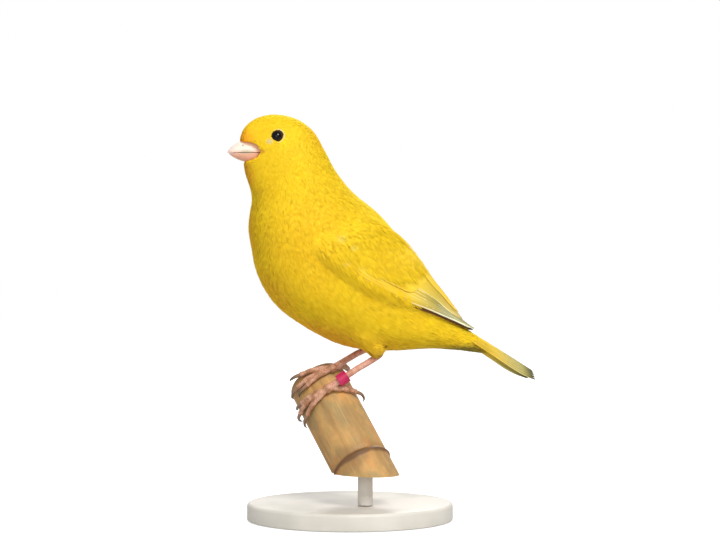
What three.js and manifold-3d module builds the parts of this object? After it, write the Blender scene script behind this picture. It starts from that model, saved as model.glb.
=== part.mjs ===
// A yellow canary, life size and still, perched near the top of a short cut of sloping cane. A round stand
// with one rod holds the cane. Millimetres, +Z up. The bird looks along -X and is symmetric about y = 0,
// apart from its legs; its left side is the -Y side. The origin is the centre of the stand's underside.
import * as THREE from 'three';
import { mergeVertices } from 'three/addons/utils/BufferGeometryUtils.js';
import Module from 'manifold-3d';

const wasm = await Module();
wasm.setup();

const UP = new THREE.Vector3(0, 0, 1);
const ACROSS = new THREE.Vector3(0, 1, 0);

// Clearance between pieces that touch
const GAP = 0.3;

// Trunk sections from the face to the end of the undertail: back x, back z, front x, front z, half width
const TRUNK = [
  [-38.6, 130.2, -38.2, 126.4, 1.4],
  [-38.5, 133.2, -37.2, 124.2, 2.9],
  [-36.8, 136.9, -37.0, 121.8, 4.1],
  [-33.0, 139.8, -36.6, 119.6, 5.4],
  [-27.0, 141.2, -36.0, 117.6, 7.3],
  [-19.2, 139.8, -35.4, 115.8, 9.2],
  [-13.2, 135.6, -34.9, 113.6, 10.7],
  [-9.4, 129.4, -34.6, 111.0, 12.4],
  [-5.1, 121.6, -35.2, 107.2, 14.8],
  [0.9, 114.2, -35.8, 101.6, 17.8],
  [10.0, 106.8, -34.8, 94.6, 20.0],
  [17.0, 98.8, -32.8, 85.8, 20.8],
  [21.8, 91.2, -26.8, 75.6, 20.4],
  [26.4, 83.8, -16.0, 67.4, 18.4],
  [31.8, 77.2, -1.6, 60.6, 15.4],
  [36.6, 71.2, 14.0, 59.2, 11.8],
  [41.0, 67.2, 28.0, 59.8, 8.4],
  [45.0, 64.4, 38.6, 59.0, 5.8],
  [48.2, 62.2, 45.2, 58.0, 3.6],
];
const TRUNK_SIDES = 24;
const TRUNK_RINGS = 36;
const LOW_FULLNESS = 0.08;
const HEAD_FULLNESS = -0.3;

// Planes that part the trunk: a point on each, in x and z, and the slope of its line in degrees
const HEAD_CUT = { x: -23.0, z: 123.0, slope: 21 };
const NECK_CUT = { x: -18.0, z: 109.8, slope: 17 };
const TAIL_CUT = { x: 37.0, z: 63.8, slope: 54 };

// Vanes: flat feathers with a low ridge, given by thickness and width
const VANE_THICKNESS = 0.8;
const VANE_STEPS = 3;
const VANE_TIP = 0.3;

// Tail: twelve vanes, with the middle pair on top. Spreads are the outermost feather's middle line.
const TAIL = {
  root: [34.0, 0, 71.0],
  tip: [67.6, 0, 50.6],
  pairs: 6,
  rootSpread: 2.2,
  tipSpread: 4.4,
  halfWidth: 2.7,
  step: 0.28,
  fork: 1.6,
  arch: 0.05,
};

// Folded wing, in stations and degrees on the trunk: its lower and upper edge from the bend to the tip
const WING = {
  lower: [[10.2, 100], [10.6, 97], [11, 93], [12, 83], [13, 69], [14, 53], [15, 38], [16, 24], [16.6, 15]],
  upper: [[10.0, 66], [10.4, 50], [11, 38], [12, 22], [13, 13], [14, 12], [15, 13], [16, 13], [16.6, 12]],
  core: 0.78,
  thickness: 1.9,
  stack: 0.7,
  tilt: 0.3,
  sink: 0.9,
};

// Tiers of wing feathers from the lower edge up: where across the wing they lie, and how far along it
// their roots and tips are
const WING_TIERS = {
  primaries: { count: 7, across: [0.04, 0.4], root: 0.36, tips: [1, 0.79], halfWidth: 2.2, height: 1.9 },
  secondaries: { count: 4, across: [0.5, 0.8], root: 0.36, tips: [0.77, 0.74], halfWidth: 2.9, height: 1.9 },
  tertials: { count: 3, across: [0.86, 0.96], root: 0.34, tips: [0.72, 0.6], halfWidth: 2.5, height: 2.0 },
  alula: { count: 2, across: [0.03, 0.1], root: 0.2, tips: [0.5, 0.44], halfWidth: 1.6, height: 2.3 },
  greater: { count: 6, across: [0.22, 0.92], root: 0.2, tips: [0.43, 0.41], halfWidth: 2.4, height: 2.1 },
  median: { count: 4, across: [0.24, 0.86], root: 0.08, tips: [0.26, 0.26], halfWidth: 2.8, height: 2.0 },
};

// Bill: one stout cone, parted along the line of the mouth
const BILL = { base: -30.9, tip: -43.0, mouth: 127.6, above: 4.7, below: 3.4, halfWidth: 3.9 };
const BILL_BED = {
  back: -31.6, front: -46.0, rise: 0.5, low: 1.2, halfHeight: 3.3, halfWidth: 4.6, flare: 1.0,
};
const NOSTRIL = { x: -38.4, y: 2.0, z: 130.4, radius: 0.45 };

// Eyes, each in a socket with a ring of lids
const EYE = { x: -26.9, z: 132.9, out: 6.4, radius: 2.6 };
const LID = { ring: 2.5, thickness: 0.5, forward: 14, upward: 10 };

// Cane: its axis rises away from the left side of the bird's view
const CANE = { radius: 10.2, rise: 48, heading: 116, under: [-6.0, 5.4, 39.2], top: 11.6, foot: 17.0 };
const CANE_KNOT = { along: -26.6, halfLength: 0.9, height: 0.5 };

// Legs: each heel, and each foot's place along and around the cane
const LEGS = {
  left: { heel: [9.0, -7.4, 58.4], hip: [1.0, -9.5, 66.5], along: 0, around: 34, inward: 1 },
  right: { heel: [9.6, 8.2, 61.0], hip: [2.0, 9.5, 67.5], along: 7.6, around: 8, inward: -1 },
};
const TARSUS = { radius: 1.1, heelRadius: 1.55, ankleRadius: 1.35 };
const THIGH = { top: 6.4, end: 2.7 };
const PAD_RADIUS = 1.7;
const RING = { inner: 1.55, outer: 2.2, length: 3.8, fromFoot: 6.4 };

// Toes: length, splay along the cane, radius at the root, claw length. A negative length points back.
const TOES = {
  inner: { length: 11.2, splay: 1.9, radius: 1.05, claw: 5.6 },
  middle: { length: 14.8, splay: 0.2, radius: 1.1, claw: 6.4 },
  outer: { length: 11.4, splay: -3.2, radius: 1.05, claw: 5.8 },
  hind: { length: -10.8, splay: -2.6, radius: 1.15, claw: 6.4 },
};

// Stand
const BASE = { radius: 36, height: 6, edge: 1.2 };
const ROD = { radius: 2.6 };

const COLOURS = {
  feathers: { color: 0xf6cf1e, roughness: 0.85, metalness: 0 },
  wing: { color: 0xd9d05a, roughness: 0.8, metalness: 0 },
  bill: { color: 0xf0cdc4, roughness: 0.45, metalness: 0 },
  eye: { color: 0x0b0c10, roughness: 0.08, metalness: 0 },
  leg: { color: 0xd09a8c, roughness: 0.6, metalness: 0 },
  claw: { color: 0x4a4038, roughness: 0.5, metalness: 0 },
  ring: { color: 0xe81f6c, roughness: 0.35, metalness: 0 },
  cane: { color: 0xbf9b62, roughness: 0.6, metalness: 0 },
  stand: { color: 0xd6d1c9, roughness: 0.45, metalness: 0 },
};

const radians = THREE.MathUtils.degToRad;
const at = ([x, y, z]) => new THREE.Vector3(x, y, z);
const backLine = new THREE.CatmullRomCurve3(TRUNK.map(([x, z]) => new THREE.Vector3(x, 0, z)));
const frontLine = new THREE.CatmullRomCurve3(TRUNK.map(([, , x, z]) => new THREE.Vector3(x, 0, z)));
const lowerEdge = new THREE.CatmullRomCurve3(WING.lower.map(([s, a]) => new THREE.Vector3(s, radians(a), 0)));
const upperEdge = new THREE.CatmullRomCurve3(WING.upper.map(([s, a]) => new THREE.Vector3(s, radians(a), 0)));
const widthLine = new THREE.CatmullRomCurve3(
  TRUNK.map(([, , , , width], i) => new THREE.Vector3(i, width, 0)),
);

// A repeatable random number between -spread and spread
let randomState = 4711;
function varied(spread) {
  randomState = (randomState * 16807) % 2147483647;
  return spread * (2 * randomState / 2147483647 - 1);
}

// A cylinder of the given sides and steps whose points are moved by place(along, angle, reach)
function shaped(sides, steps, place) {
  const geometry = new THREE.CylinderGeometry(1, 1, 1, sides, steps);
  const position = geometry.attributes.position;
  for (let i = 0; i < position.count; i += 1) {
    const x = position.getX(i);
    const z = position.getZ(i);
    const along = THREE.MathUtils.clamp(position.getY(i) + 0.5, 0, 1);
    const point = place(along, Math.atan2(x, z), Math.min(1, Math.hypot(x, z)));
    position.setXYZ(i, point.x, point.y, point.z);
  }
  return geometry;
}

// A point of the trunk's surface, grown outward: station counts along TRUNK, angle runs from the back
// over the left side
function onTrunk(station, angle, grown, reach = 1) {
  const along = station / (TRUNK.length - 1);
  const back = backLine.getPoint(along);
  const front = frontLine.getPoint(along);
  const width = widthLine.getPoint(along).y + grown;
  const chord = back.clone().sub(front);
  const half = chord.length() / 2 + grown;
  const { lerp, smoothstep } = THREE.MathUtils;
  const fullness = lerp(HEAD_FULLNESS, LOW_FULLNESS, smoothstep(station, 4, 8));
  const low = 1 - fullness * Math.cos(angle);
  return back.add(front).multiplyScalar(0.5)
    .addScaledVector(chord.normalize(), half * Math.cos(angle) * reach)
    .addScaledVector(ACROSS, -width * Math.sin(angle) * low * reach);
}

function trunk(grown) {
  const last = TRUNK.length - 1;
  return solid(shaped(TRUNK_SIDES, TRUNK_RINGS, (along, angle, reach) => (
    onTrunk(last * along, angle, grown, reach))));
}

// A round tapered tube along a curve
function tube(curve, radius, sides, steps, aside = ACROSS) {
  return shaped(sides, steps, (along, angle, reach) => {
    const tangent = curve.getTangent(along);
    const first = new THREE.Vector3().crossVectors(tangent, aside).normalize();
    const second = new THREE.Vector3().crossVectors(first, tangent);
    return curve.getPoint(along)
      .addScaledVector(first, radius(along) * Math.sin(angle) * reach)
      .addScaledVector(second, radius(along) * Math.cos(angle) * reach);
  });
}

function solid(geometry) {
  const bare = geometry.clone();
  bare.deleteAttribute('normal');
  bare.deleteAttribute('uv');
  const merged = mergeVertices(bare, 1e-4);
  return new wasm.Manifold(new wasm.Mesh({
    numProp: 3,
    vertProperties: new Float32Array(merged.attributes.position.array),
    triVerts: new Uint32Array(merged.index.array),
  }));
}

// The largest closed piece of a solid, as a geometry
function largest(body) {
  const pieces = body.decompose().sort((a, b) => b.volume() - a.volume());
  const mesh = pieces[0].getMesh();
  const geometry = new THREE.BufferGeometry();
  geometry.setAttribute('position', new THREE.BufferAttribute(new Float32Array(mesh.vertProperties), 3));
  geometry.setIndex(new THREE.BufferAttribute(new Uint32Array(mesh.triVerts), 1));
  geometry.computeVertexNormals();
  return geometry;
}

// The same geometry on the bird's other side
function mirrored(geometry) {
  const twin = geometry.clone().applyMatrix4(new THREE.Matrix4().makeScale(1, -1, 1));
  const index = twin.index;
  for (let i = 0; i < index.count; i += 3) {
    const second = index.getX(i + 1);
    index.setX(i + 1, index.getX(i + 2));
    index.setX(i + 2, second);
  }
  twin.computeVertexNormals();
  return twin;
}

// All of space on one side of a cut, half a clearance away from it
function beyond(cut, sign) {
  const size = 400;
  const box = new THREE.BoxGeometry(size, size, size);
  box.translate(0, 0, sign * (size + GAP) / 2);
  box.rotateY(-radians(cut.slope));
  return solid(box.translate(cut.x, 0, cut.z));
}

const group = new THREE.Group();
function add(name, geometry, colour) {
  const mesh = new THREE.Mesh(geometry, new THREE.MeshStandardMaterial(COLOURS[colour]));
  mesh.name = name;
  group.add(mesh);
}

function billForm(grown) {
  const length = BILL.base - BILL.tip + grown;
  return solid(shaped(16, 8, (along, angle, reach) => {
    const taper = Math.sin(angle / 2);
    const above = BILL.above * (1 - along ** 3) ** 0.8 + grown;
    const below = BILL.below * (1 - along ** 2.4) ** 0.85 + grown;
    const half = BILL.halfWidth * (1 - along ** 2.2) ** 0.75 + grown;
    const height = THREE.MathUtils.lerp(above, below, taper * taper) + 0.12;
    return new THREE.Vector3(
      BILL.base - length * along,
      (half + 0.12) * Math.sin(angle) * reach,
      BILL.mouth + height * Math.cos(angle) * reach,
    );
  }));
}

function billBed() {
  return solid(shaped(20, 6, (along, angle, reach) => {
    const x = THREE.MathUtils.lerp(BILL_BED.back, BILL_BED.front, along);
    const ahead = BILL_BED.back - x;
    const half = BILL_BED.halfWidth + BILL_BED.flare * ahead;
    const height = Math.min(BILL_BED.halfHeight, BILL_BED.low + ahead);
    return new THREE.Vector3(
      x,
      half * Math.sin(angle) * reach,
      BILL.mouth + BILL_BED.rise + height * Math.cos(angle) * reach,
    );
  }));
}

function eyeBall(side, grown) {
  const ball = new THREE.SphereGeometry(EYE.radius + grown, 16, 10);
  return ball.translate(EYE.x, side * EYE.out, EYE.z);
}

function lidRing(side) {
  const ring = new THREE.TorusGeometry(LID.ring, LID.thickness, 6, 18);
  const depth = Math.sqrt(EYE.radius ** 2 - (LID.ring - LID.thickness - GAP / 2) ** 2);
  ring.translate(0, 0, depth);
  ring.rotateX(side * radians(-90 + LID.upward));
  ring.rotateZ(side * radians(LID.forward));
  return solid(ring.translate(EYE.x, side * EYE.out, EYE.z));
}

function addHead(body) {
  const nostrils = [-1, 1].map((side) => solid(new THREE.SphereGeometry(NOSTRIL.radius, 10, 8)
    .translate(NOSTRIL.x, side * NOSTRIL.y, NOSTRIL.z)));
  const mouth = { x: BILL.tip, z: BILL.mouth, slope: 1 };
  let head = body.intersect(beyond(HEAD_CUT, 1)).subtract(billBed());
  for (const side of [-1, 1]) {
    head = head.add(lidRing(side)).subtract(solid(eyeBall(side, GAP)));
  }
  add('head', largest(head.subtract(billForm(GAP))), 'feathers');
  const upper = billForm(0).intersect(beyond(mouth, 1));
  add('bill_upper', largest(nostrils.reduce((bill, pit) => bill.subtract(pit), upper)), 'bill');
  add('bill_lower', largest(billForm(0).intersect(beyond(mouth, -1))), 'bill');
  add('eye_left', eyeBall(-1, 0), 'eye');
  add('eye_right', eyeBall(1, 0), 'eye');
}

// Cane frame: its axis, its uppermost side and the side that the front toes reach over
const caneAxis = new THREE.Vector3(
  Math.cos(radians(CANE.rise)) * Math.cos(radians(CANE.heading)),
  Math.cos(radians(CANE.rise)) * Math.sin(radians(CANE.heading)),
  Math.sin(radians(CANE.rise)),
);
const caneTop = UP.clone().addScaledVector(caneAxis, -UP.dot(caneAxis)).normalize();
const caneFront = new THREE.Vector3().crossVectors(caneTop, caneAxis);

function onCane(along, around, height) {
  const angle = radians(around);
  return at(CANE.under)
    .addScaledVector(caneAxis, along)
    .addScaledVector(caneTop, (CANE.radius + height) * Math.cos(angle))
    .addScaledVector(caneFront, (CANE.radius + height) * Math.sin(angle));
}

// A solid of revolution whose axis runs from a point along a direction
function turned(profile, sides, start, direction) {
  const geometry = new THREE.LatheGeometry(profile.map(([r, h]) => new THREE.Vector2(r, h)), sides);
  geometry.applyQuaternion(new THREE.Quaternion().setFromUnitVectors(ACROSS, direction));
  return geometry.translate(start.x, start.y, start.z);
}

function thighForm(leg, grown) {
  return solid(tube(new THREE.LineCurve3(at(leg.hip), at(leg.heel)), (along) => (
    THREE.MathUtils.lerp(THIGH.top, THIGH.end, along ** 0.8) + grown), 16, 5));
}

function tarsusForm(heel, ankle, grown) {
  const { radius, heelRadius, ankleRadius } = TARSUS;
  return solid(tube(new THREE.LineCurve3(heel, ankle), (along) => (
    radius + (heelRadius - radius) * Math.exp(-9 * along)
    + (ankleRadius - radius) * Math.exp(-9 * (1 - along)) + grown), 8, 8));
}

// A point over the cane along a toe: along runs from 0 at the pad to 1 at the toe's end
function onToe(leg, toe, along, lift) {
  const wrap = THREE.MathUtils.radToDeg(toe.length / (CANE.radius + GAP + toe.radius));
  return onCane(leg.along + toe.splay * leg.inward * along, leg.around + wrap * along, GAP + lift);
}

function toeForm(leg, toe, foot, grown) {
  const { radius } = toe;
  const curve = new THREE.CatmullRomCurve3([
    foot,
    onToe(leg, toe, 0.25, radius * 1.1),
    onToe(leg, toe, 0.5, radius),
    onToe(leg, toe, 0.75, radius),
    onToe(leg, toe, 1, radius * 0.9),
  ]);
  const knuckles = (along) => 1 + 0.09 * Math.cos(6 * Math.PI * along);
  return solid(tube(curve, (along) => radius * (1 - 0.18 * along) * knuckles(along) + grown, 7, 8, caneAxis));
}

function footForm(leg, foot, grown) {
  const pad = solid(new THREE.SphereGeometry(PAD_RADIUS + grown, 12, 8).translate(foot.x, foot.y, foot.z));
  return Object.values(TOES).reduce((whole, toe) => whole.add(toeForm(leg, toe, foot, grown)), pad);
}

function clawForm(leg, toe) {
  const reach = Math.abs(toe.length);
  const clawAt = (distance, lift) => onToe(leg, toe, 1 + distance / reach, toe.radius * lift);
  const curve = new THREE.CatmullRomCurve3([
    clawAt(GAP, 0.95),
    clawAt(toe.claw * 0.4, 1.35),
    clawAt(toe.claw * 0.8, 1.1),
    clawAt(toe.claw, 0.45),
  ]);
  return tube(curve, (along) => THREE.MathUtils.lerp(0.68, 0.12, along ** 1.4), 7, 5, caneAxis);
}

// Adds a leg and returns its foot, the direction of its shank, and the room that it needs in the torso
function addLeg(name, leg) {
  const foot = onCane(leg.along, leg.around, GAP + PAD_RADIUS);
  const heel = at(leg.heel).addScaledVector(at(leg.heel).sub(at(leg.hip)).normalize(), GAP);
  const shank = heel.clone().sub(foot).normalize();
  const room = thighForm(leg, GAP).add(tarsusForm(heel, foot, GAP));
  const tarsus = tarsusForm(heel, foot, 0).subtract(thighForm(leg, GAP)).subtract(footForm(leg, foot, GAP));
  add(`thigh_${name}`, largest(thighForm(leg, 0)), 'feathers');
  add(`tarsus_${name}`, largest(tarsus), 'leg');
  add(`foot_${name}`, largest(footForm(leg, foot, 0)), 'leg');
  for (const [toeName, toe] of Object.entries(TOES)) {
    add(`claw_${name}_${toeName}`, clawForm(leg, toe), 'claw');
  }
  return { foot, shank, room };
}

function addLegRing({ foot, shank }) {
  const { inner, outer, length, fromFoot } = RING;
  const profile = [[inner, 0], [outer, 0], [outer, length], [inner, length], [inner, 0]];
  const start = foot.clone().addScaledVector(shank, fromFoot - length / 2);
  add('leg_ring', largest(solid(turned(profile, 24, start, shank))), 'ring');
}

function addCane() {
  const { along, halfLength, height } = CANE_KNOT;
  const bottom = -60;
  const profile = [
    [0, bottom],
    [CANE.radius, bottom],
    [CANE.radius, along - halfLength],
    [CANE.radius + height, along],
    [CANE.radius, along + halfLength],
    [CANE.radius, CANE.top - 0.5],
    [CANE.radius - 0.5, CANE.top],
    [0, CANE.top],
  ];
  const cane = solid(turned(profile, 32, at(CANE.under), caneAxis));
  const level = { x: 0, z: CANE.foot - GAP / 2, slope: 0 };
  add('perch', largest(cane.intersect(beyond(level, 1))), 'cane');
}

function addStand() {
  const { radius, height, edge } = BASE;
  const base = [[0, 0], [radius, 0], [radius, height - edge], [radius - edge, height], [0, height]];
  add('stand_base', largest(solid(turned(base, 64, new THREE.Vector3(), UP))), 'stand');
  const drop = (CANE.foot - CANE.under[2]) / caneAxis.z;
  const top = at(CANE.under).addScaledVector(caneAxis, drop);
  const length = CANE.foot - height - 2 * GAP;
  const rod = [[0, 0], [ROD.radius, 0], [ROD.radius, length], [0, length]];
  const start = new THREE.Vector3(top.x, top.y, height + GAP);
  add('stand_rod', largest(solid(turned(rod, 24, start, UP))), 'stand');
}

// A vane's outline: its half width along its length, from a narrow root to a rounded tip
function vaneWidth(along) {
  const root = THREE.MathUtils.lerp(0.55, 1, Math.min(1, along / 0.35));
  const tip = THREE.MathUtils.clamp((along - 0.7) / 0.3, 0, 1);
  return root * Math.max(VANE_TIP, Math.sqrt(1 - tip * tip));
}

// A vane whose points are set by place(along, across in mm, height in mm)
function vane(halfWidth, place) {
  const edge = Math.sin(radians(60));
  return solid(shaped(6, VANE_STEPS, (part, angle, reach) => {
    const along = part ** 0.75;
    const across = halfWidth * vaneWidth(along) * (Math.sin(angle) / edge) * reach;
    const ridge = Math.sign(Math.cos(angle)) * Math.abs(Math.cos(angle)) ** 0.6;
    return place(along, across, (VANE_THICKNESS / 2) * ridge * reach);
  }));
}

// A point over the folded wing: along and across run from 0 to 1 over its outline, and aside is in mm
function onWing(along, across, aside, height) {
  const low = lowerEdge.getPoint(along);
  const high = upperEdge.getPoint(along);
  const station = THREE.MathUtils.lerp(low.x, high.x, across);
  const round = widthLine.getPoint(station / (TRUNK.length - 1)).y;
  return onTrunk(station, THREE.MathUtils.lerp(low.y, high.y, across) + aside / round, height);
}

// One tier of the wing's feathers, each over the one below it
function wingTier({ count, across, root, tips, halfWidth, height }) {
  return Array.from({ length: count }, (_, i) => {
    const rank = i / (count - 1);
    const middle = THREE.MathUtils.lerp(across[0], across[1], rank);
    const tip = THREE.MathUtils.lerp(tips[0], tips[1], rank ** 1.2) + varied(0.004);
    const width = halfWidth * (1 + varied(0.04));
    return vane(width, (along, aside, ridge) => {
      const lift = Math.min(0, along / 0.4 - 1) * WING.sink + WING.stack * middle;
      const tilt = WING.tilt * aside / width;
      return onWing(THREE.MathUtils.lerp(root, tip, along), middle, aside, height + lift + tilt + ridge);
    });
  });
}

function addWings(clear) {
  const core = solid(shaped(12, 10, (along, angle, reach) => {
    const across = 0.5 - 0.5 * Math.sin(angle) * reach;
    const height = Math.cos(angle) * reach;
    return onWing(WING.core * along, across, 0, height > 0 ? WING.thickness * height ** 0.5 : height);
  }));
  const feathers = Object.values(WING_TIERS).flatMap(wingTier);
  const whole = feathers.reduce((wing, feather) => wing.add(feather), core);
  const near = new THREE.BoxGeometry(300, 100, 300).translate(0, -50 - GAP / 2, 0);
  const wing = largest(whole.subtract(clear).intersect(solid(near)));
  add('wing_left', wing, 'wing');
  add('wing_right', mirrored(wing), 'wing');
}

function tailVane(side, pair) {
  const rank = pair / (TAIL.pairs - 1);
  const root = at(TAIL.root);
  const tip = at(TAIL.tip);
  const line = tip.clone().sub(root);
  const over = new THREE.Vector3().crossVectors(line, ACROSS).normalize();
  return vane(TAIL.halfWidth, (along, across, height) => {
    const spread = side * (0.3 + THREE.MathUtils.lerp(TAIL.rootSpread, TAIL.tipSpread, along) * rank);
    const out = spread + across;
    return root.clone()
      .addScaledVector(line, along * (1 + TAIL.fork * (rank - 1) / line.length()))
      .addScaledVector(ACROSS, -out)
      .addScaledVector(over, height - TAIL.step * pair - TAIL.arch * out * out);
  });
}

function addTail(body) {
  let tail = body;
  for (let pair = 0; pair < TAIL.pairs; pair += 1) {
    tail = tail.add(tailVane(1, pair)).add(tailVane(-1, pair));
  }
  add('tail', largest(tail.intersect(beyond(TAIL_CUT, -1))), 'wing');
}

const body = trunk(0);
const grownBody = trunk(GAP);
addHead(body);
add('neck', largest(body.intersect(beyond(HEAD_CUT, -1)).intersect(beyond(NECK_CUT, 1))), 'feathers');
const leftLeg = addLeg('left', LEGS.left);
const rightLeg = addLeg('right', LEGS.right);
const belly = body.intersect(beyond(NECK_CUT, -1)).intersect(beyond(TAIL_CUT, 1));
add('torso', largest(belly.subtract(leftLeg.room).subtract(rightLeg.room)), 'feathers');
addTail(body);
addWings(grownBody);
addLegRing(leftLeg);
addCane();
addStand();

export default group;
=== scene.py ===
"""Looks of the perched yellow canary: plumage, bare parts, cane perch and display stand.

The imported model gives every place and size, and the tables below repeat its named values in
millimetres. The bird faces -X, its left side is -Y, +Z is up, and the origin is the middle of the
stand's underside.
"""
import math

import bpy
import numpy as np
from mathutils import Euler, Matrix, Vector
from mathutils.bvhtree import BVHTree
from mathutils.kdtree import KDTree


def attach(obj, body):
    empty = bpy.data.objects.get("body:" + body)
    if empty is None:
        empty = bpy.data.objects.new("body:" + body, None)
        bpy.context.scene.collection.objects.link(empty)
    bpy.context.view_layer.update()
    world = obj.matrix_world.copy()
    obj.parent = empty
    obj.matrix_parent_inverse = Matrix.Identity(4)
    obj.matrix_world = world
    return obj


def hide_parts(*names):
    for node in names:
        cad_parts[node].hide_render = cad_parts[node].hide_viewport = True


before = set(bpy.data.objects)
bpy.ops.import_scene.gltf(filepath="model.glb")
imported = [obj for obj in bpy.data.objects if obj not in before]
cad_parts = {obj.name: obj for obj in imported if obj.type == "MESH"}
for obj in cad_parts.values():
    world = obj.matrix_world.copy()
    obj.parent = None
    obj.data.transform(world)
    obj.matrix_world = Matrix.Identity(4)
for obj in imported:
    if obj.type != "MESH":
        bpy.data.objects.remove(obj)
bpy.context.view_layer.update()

MM = 0.001
rng = np.random.default_rng(41)

# ---- the model's named values, in mm

# The trunk from the bill to the tail: back x, back z, front x, front z, half width
TRUNK = np.array([
    [-38.6, 130.2, -38.2, 126.4, 1.4],
    [-38.5, 133.2, -37.2, 124.2, 2.9],
    [-36.8, 136.9, -37.0, 121.8, 4.1],
    [-33.0, 139.8, -36.6, 119.6, 5.4],
    [-27.0, 141.2, -36.0, 117.6, 7.3],
    [-19.2, 139.8, -35.4, 115.8, 9.2],
    [-13.2, 135.6, -34.9, 113.6, 10.7],
    [-9.4, 129.4, -34.6, 111.0, 12.4],
    [-5.1, 121.6, -35.2, 107.2, 14.8],
    [0.9, 114.2, -35.8, 101.6, 17.8],
    [10.0, 106.8, -34.8, 94.6, 20.0],
    [17.0, 98.8, -32.8, 85.8, 20.8],
    [21.8, 91.2, -26.8, 75.6, 20.4],
    [26.4, 83.8, -16.0, 67.4, 18.4],
    [31.8, 77.2, -1.6, 60.6, 15.4],
    [36.6, 71.2, 14.0, 59.2, 11.8],
    [41.0, 67.2, 28.0, 59.8, 8.4],
    [45.0, 64.4, 38.6, 59.0, 5.8],
    [48.2, 62.2, 45.2, 58.0, 3.6],
])
LAST = len(TRUNK) - 1
# How much a section is fuller at its front than at its back, on the head and below it
HEAD_FULLNESS, LOW_FULLNESS = -0.3, 0.08

# The folded wing's edges over the trunk: station, degrees from the back
WING_LOWER = [[10.2, 100], [10.6, 97], [11, 93], [12, 83], [13, 69], [14, 53], [15, 38], [16, 24], [16.6, 15]]
WING_UPPER = [[10.0, 66], [10.4, 50], [11, 38], [12, 22], [13, 13], [14, 12], [15, 13], [16, 13], [16.6, 12]]
# How far its vanes stack up across it, tilt about their shafts, and sink at their roots
WING_STACK, WING_TILT, WING_SINK = 0.7, 0.14, 0.9

TAIL_ROOT, TAIL_TIP = np.array([34, 0, 71.0]), np.array([67.6, 0, 50.6])
TAIL_PAIRS, TAIL_STEP, TAIL_FORK, TAIL_ARCH = 6, 0.28, 1.6, 0.05
TAIL_ROOT_SPREAD, TAIL_TIP_SPREAD, TAIL_HALF_WIDTH = 2.2, 4.4, 2.7

BILL_BASE, BILL_TIP, BILL_MOUTH = -30.9, -43.0, 127.6
BILL_ABOVE, BILL_BELOW, BILL_HALF_WIDTH = 4.7, 3.4, 3.9
BILL_OVERBITE = 0.25
BED_BACK, BED_RISE = -31.6, 0.5
NOSTRIL = np.array([-38.4, 2.0, 130.4])
EYE = np.array([-26.9, 6.4, 132.9])
EYE_RADIUS = 2.6
EYE_AXIS = np.array([-0.238, 0.956, 0.174])
LID_RING, LID_DEPTH, LID_FLATNESS = 2.42, 1.5, 0.9

# The room left between parts that touch
GAP = 0.3
CANE_RADIUS, CANE_TOP, CANE_FOOT = 10.2, 11.6, 17.0
CANE_UNDER = np.array([-6.0, 5.4, 39.2])
CANE_AXIS = np.array([-0.2933, 0.6014, 0.7431])
CANE_UP = np.array([0.3258, -0.6679, 0.6691])
CANE_SIDE = np.array([-0.8988, -0.4384, 0.0])
CANE_KNOT = -26.6
# Each leg's joints, its foot's place on the cane (mm along, degrees round) and which way is inward
LEGS = {
    "left": dict(heel=[9.0, -7.4, 58.4], hip=[1.0, -9.5, 66.5], along=0.0, around=34.0, inward=1),
    "right": dict(heel=[9.6, 8.2, 61.0], hip=[2.0, 9.5, 67.5], along=7.6, around=8.0, inward=-1),
}
# Each toe's length round the cane (backward where negative), splay along it, radius and claw length
TOES = {
    "inner": dict(length=11.2, splay=1.9, radius=1.05, claw=5.6),
    "middle": dict(length=14.8, splay=0.2, radius=1.1, claw=6.4),
    "outer": dict(length=11.4, splay=-3.2, radius=1.05, claw=5.8),
    "hind": dict(length=-10.8, splay=-2.6, radius=1.15, claw=6.4),
}
THIGH_TOP, THIGH_END = 4.5, 2.3
RING_INNER, RING_OUTER, RING_LENGTH, RING_FROM_FOOT = 1.55, 2.2, 3.8, 6.4
BASE_RADIUS, BASE_HEIGHT, ROD_RADIUS = 36.0, 6.0, 2.6

# ---- curves and surfaces


def unit(vectors):
    """The same directions at length 1"""
    return vectors / np.maximum(np.linalg.norm(vectors, axis=-1, keepdims=True), 1e-12)


def towards(first, second, turn):
    """The directions at an angle in radians from first towards second"""
    return first * np.cos(turn)[..., None] + second * np.sin(turn)[..., None]


def smooth(low, high, value):
    """0 below low, 1 above high, and an even S between them"""
    part = np.clip((np.asarray(value, float) - low) / (high - low), 0, 1)
    return part * part * (3 - 2 * part)


class Curve:
    """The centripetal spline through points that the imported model's forms follow"""

    def __init__(self, points):
        points = np.asarray(points, float)
        ends = [2 * points[0] - points[1]], [2 * points[-1] - points[-2]]
        self.points = np.vstack([ends[0], points, ends[1]])

    def at(self, part):
        spans = len(self.points) - 3
        place = np.clip(np.asarray(part, float), 0, 1) * spans
        first = np.minimum(place.astype(int), spans - 1)
        near = (place - first)[..., None]
        a, b, c, d = (self.points[first + i] for i in range(4))
        before, middle, after = (
            np.maximum(np.sum((q - p) ** 2, -1, keepdims=True), 1e-9) ** 0.25
            for p, q in ((a, b), (b, c), (c, d)))
        leave = ((b - a) / before - (c - a) / (before + middle) + (c - b) / middle) * middle
        arrive = ((c - b) / middle - (d - b) / (middle + after) + (d - c) / after) * middle
        return (b + leave * near + (3 * (c - b) - 2 * leave - arrive) * near ** 2
                + (2 * (b - c) + leave + arrive) * near ** 3)


def in_side_plane(rows):
    return [[x, 0, z] for x, z in rows]


BACK = Curve(in_side_plane(TRUNK[:, :2]))
FRONT = Curve(in_side_plane(TRUNK[:, 2:4]))
WIDTH = Curve([[i, width, 0] for i, width in enumerate(TRUNK[:, 4])])
LOWER_EDGE = Curve([[s, a, 0] for s, a in WING_LOWER])
UPPER_EDGE = Curve([[s, a, 0] for s, a in WING_UPPER])


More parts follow.
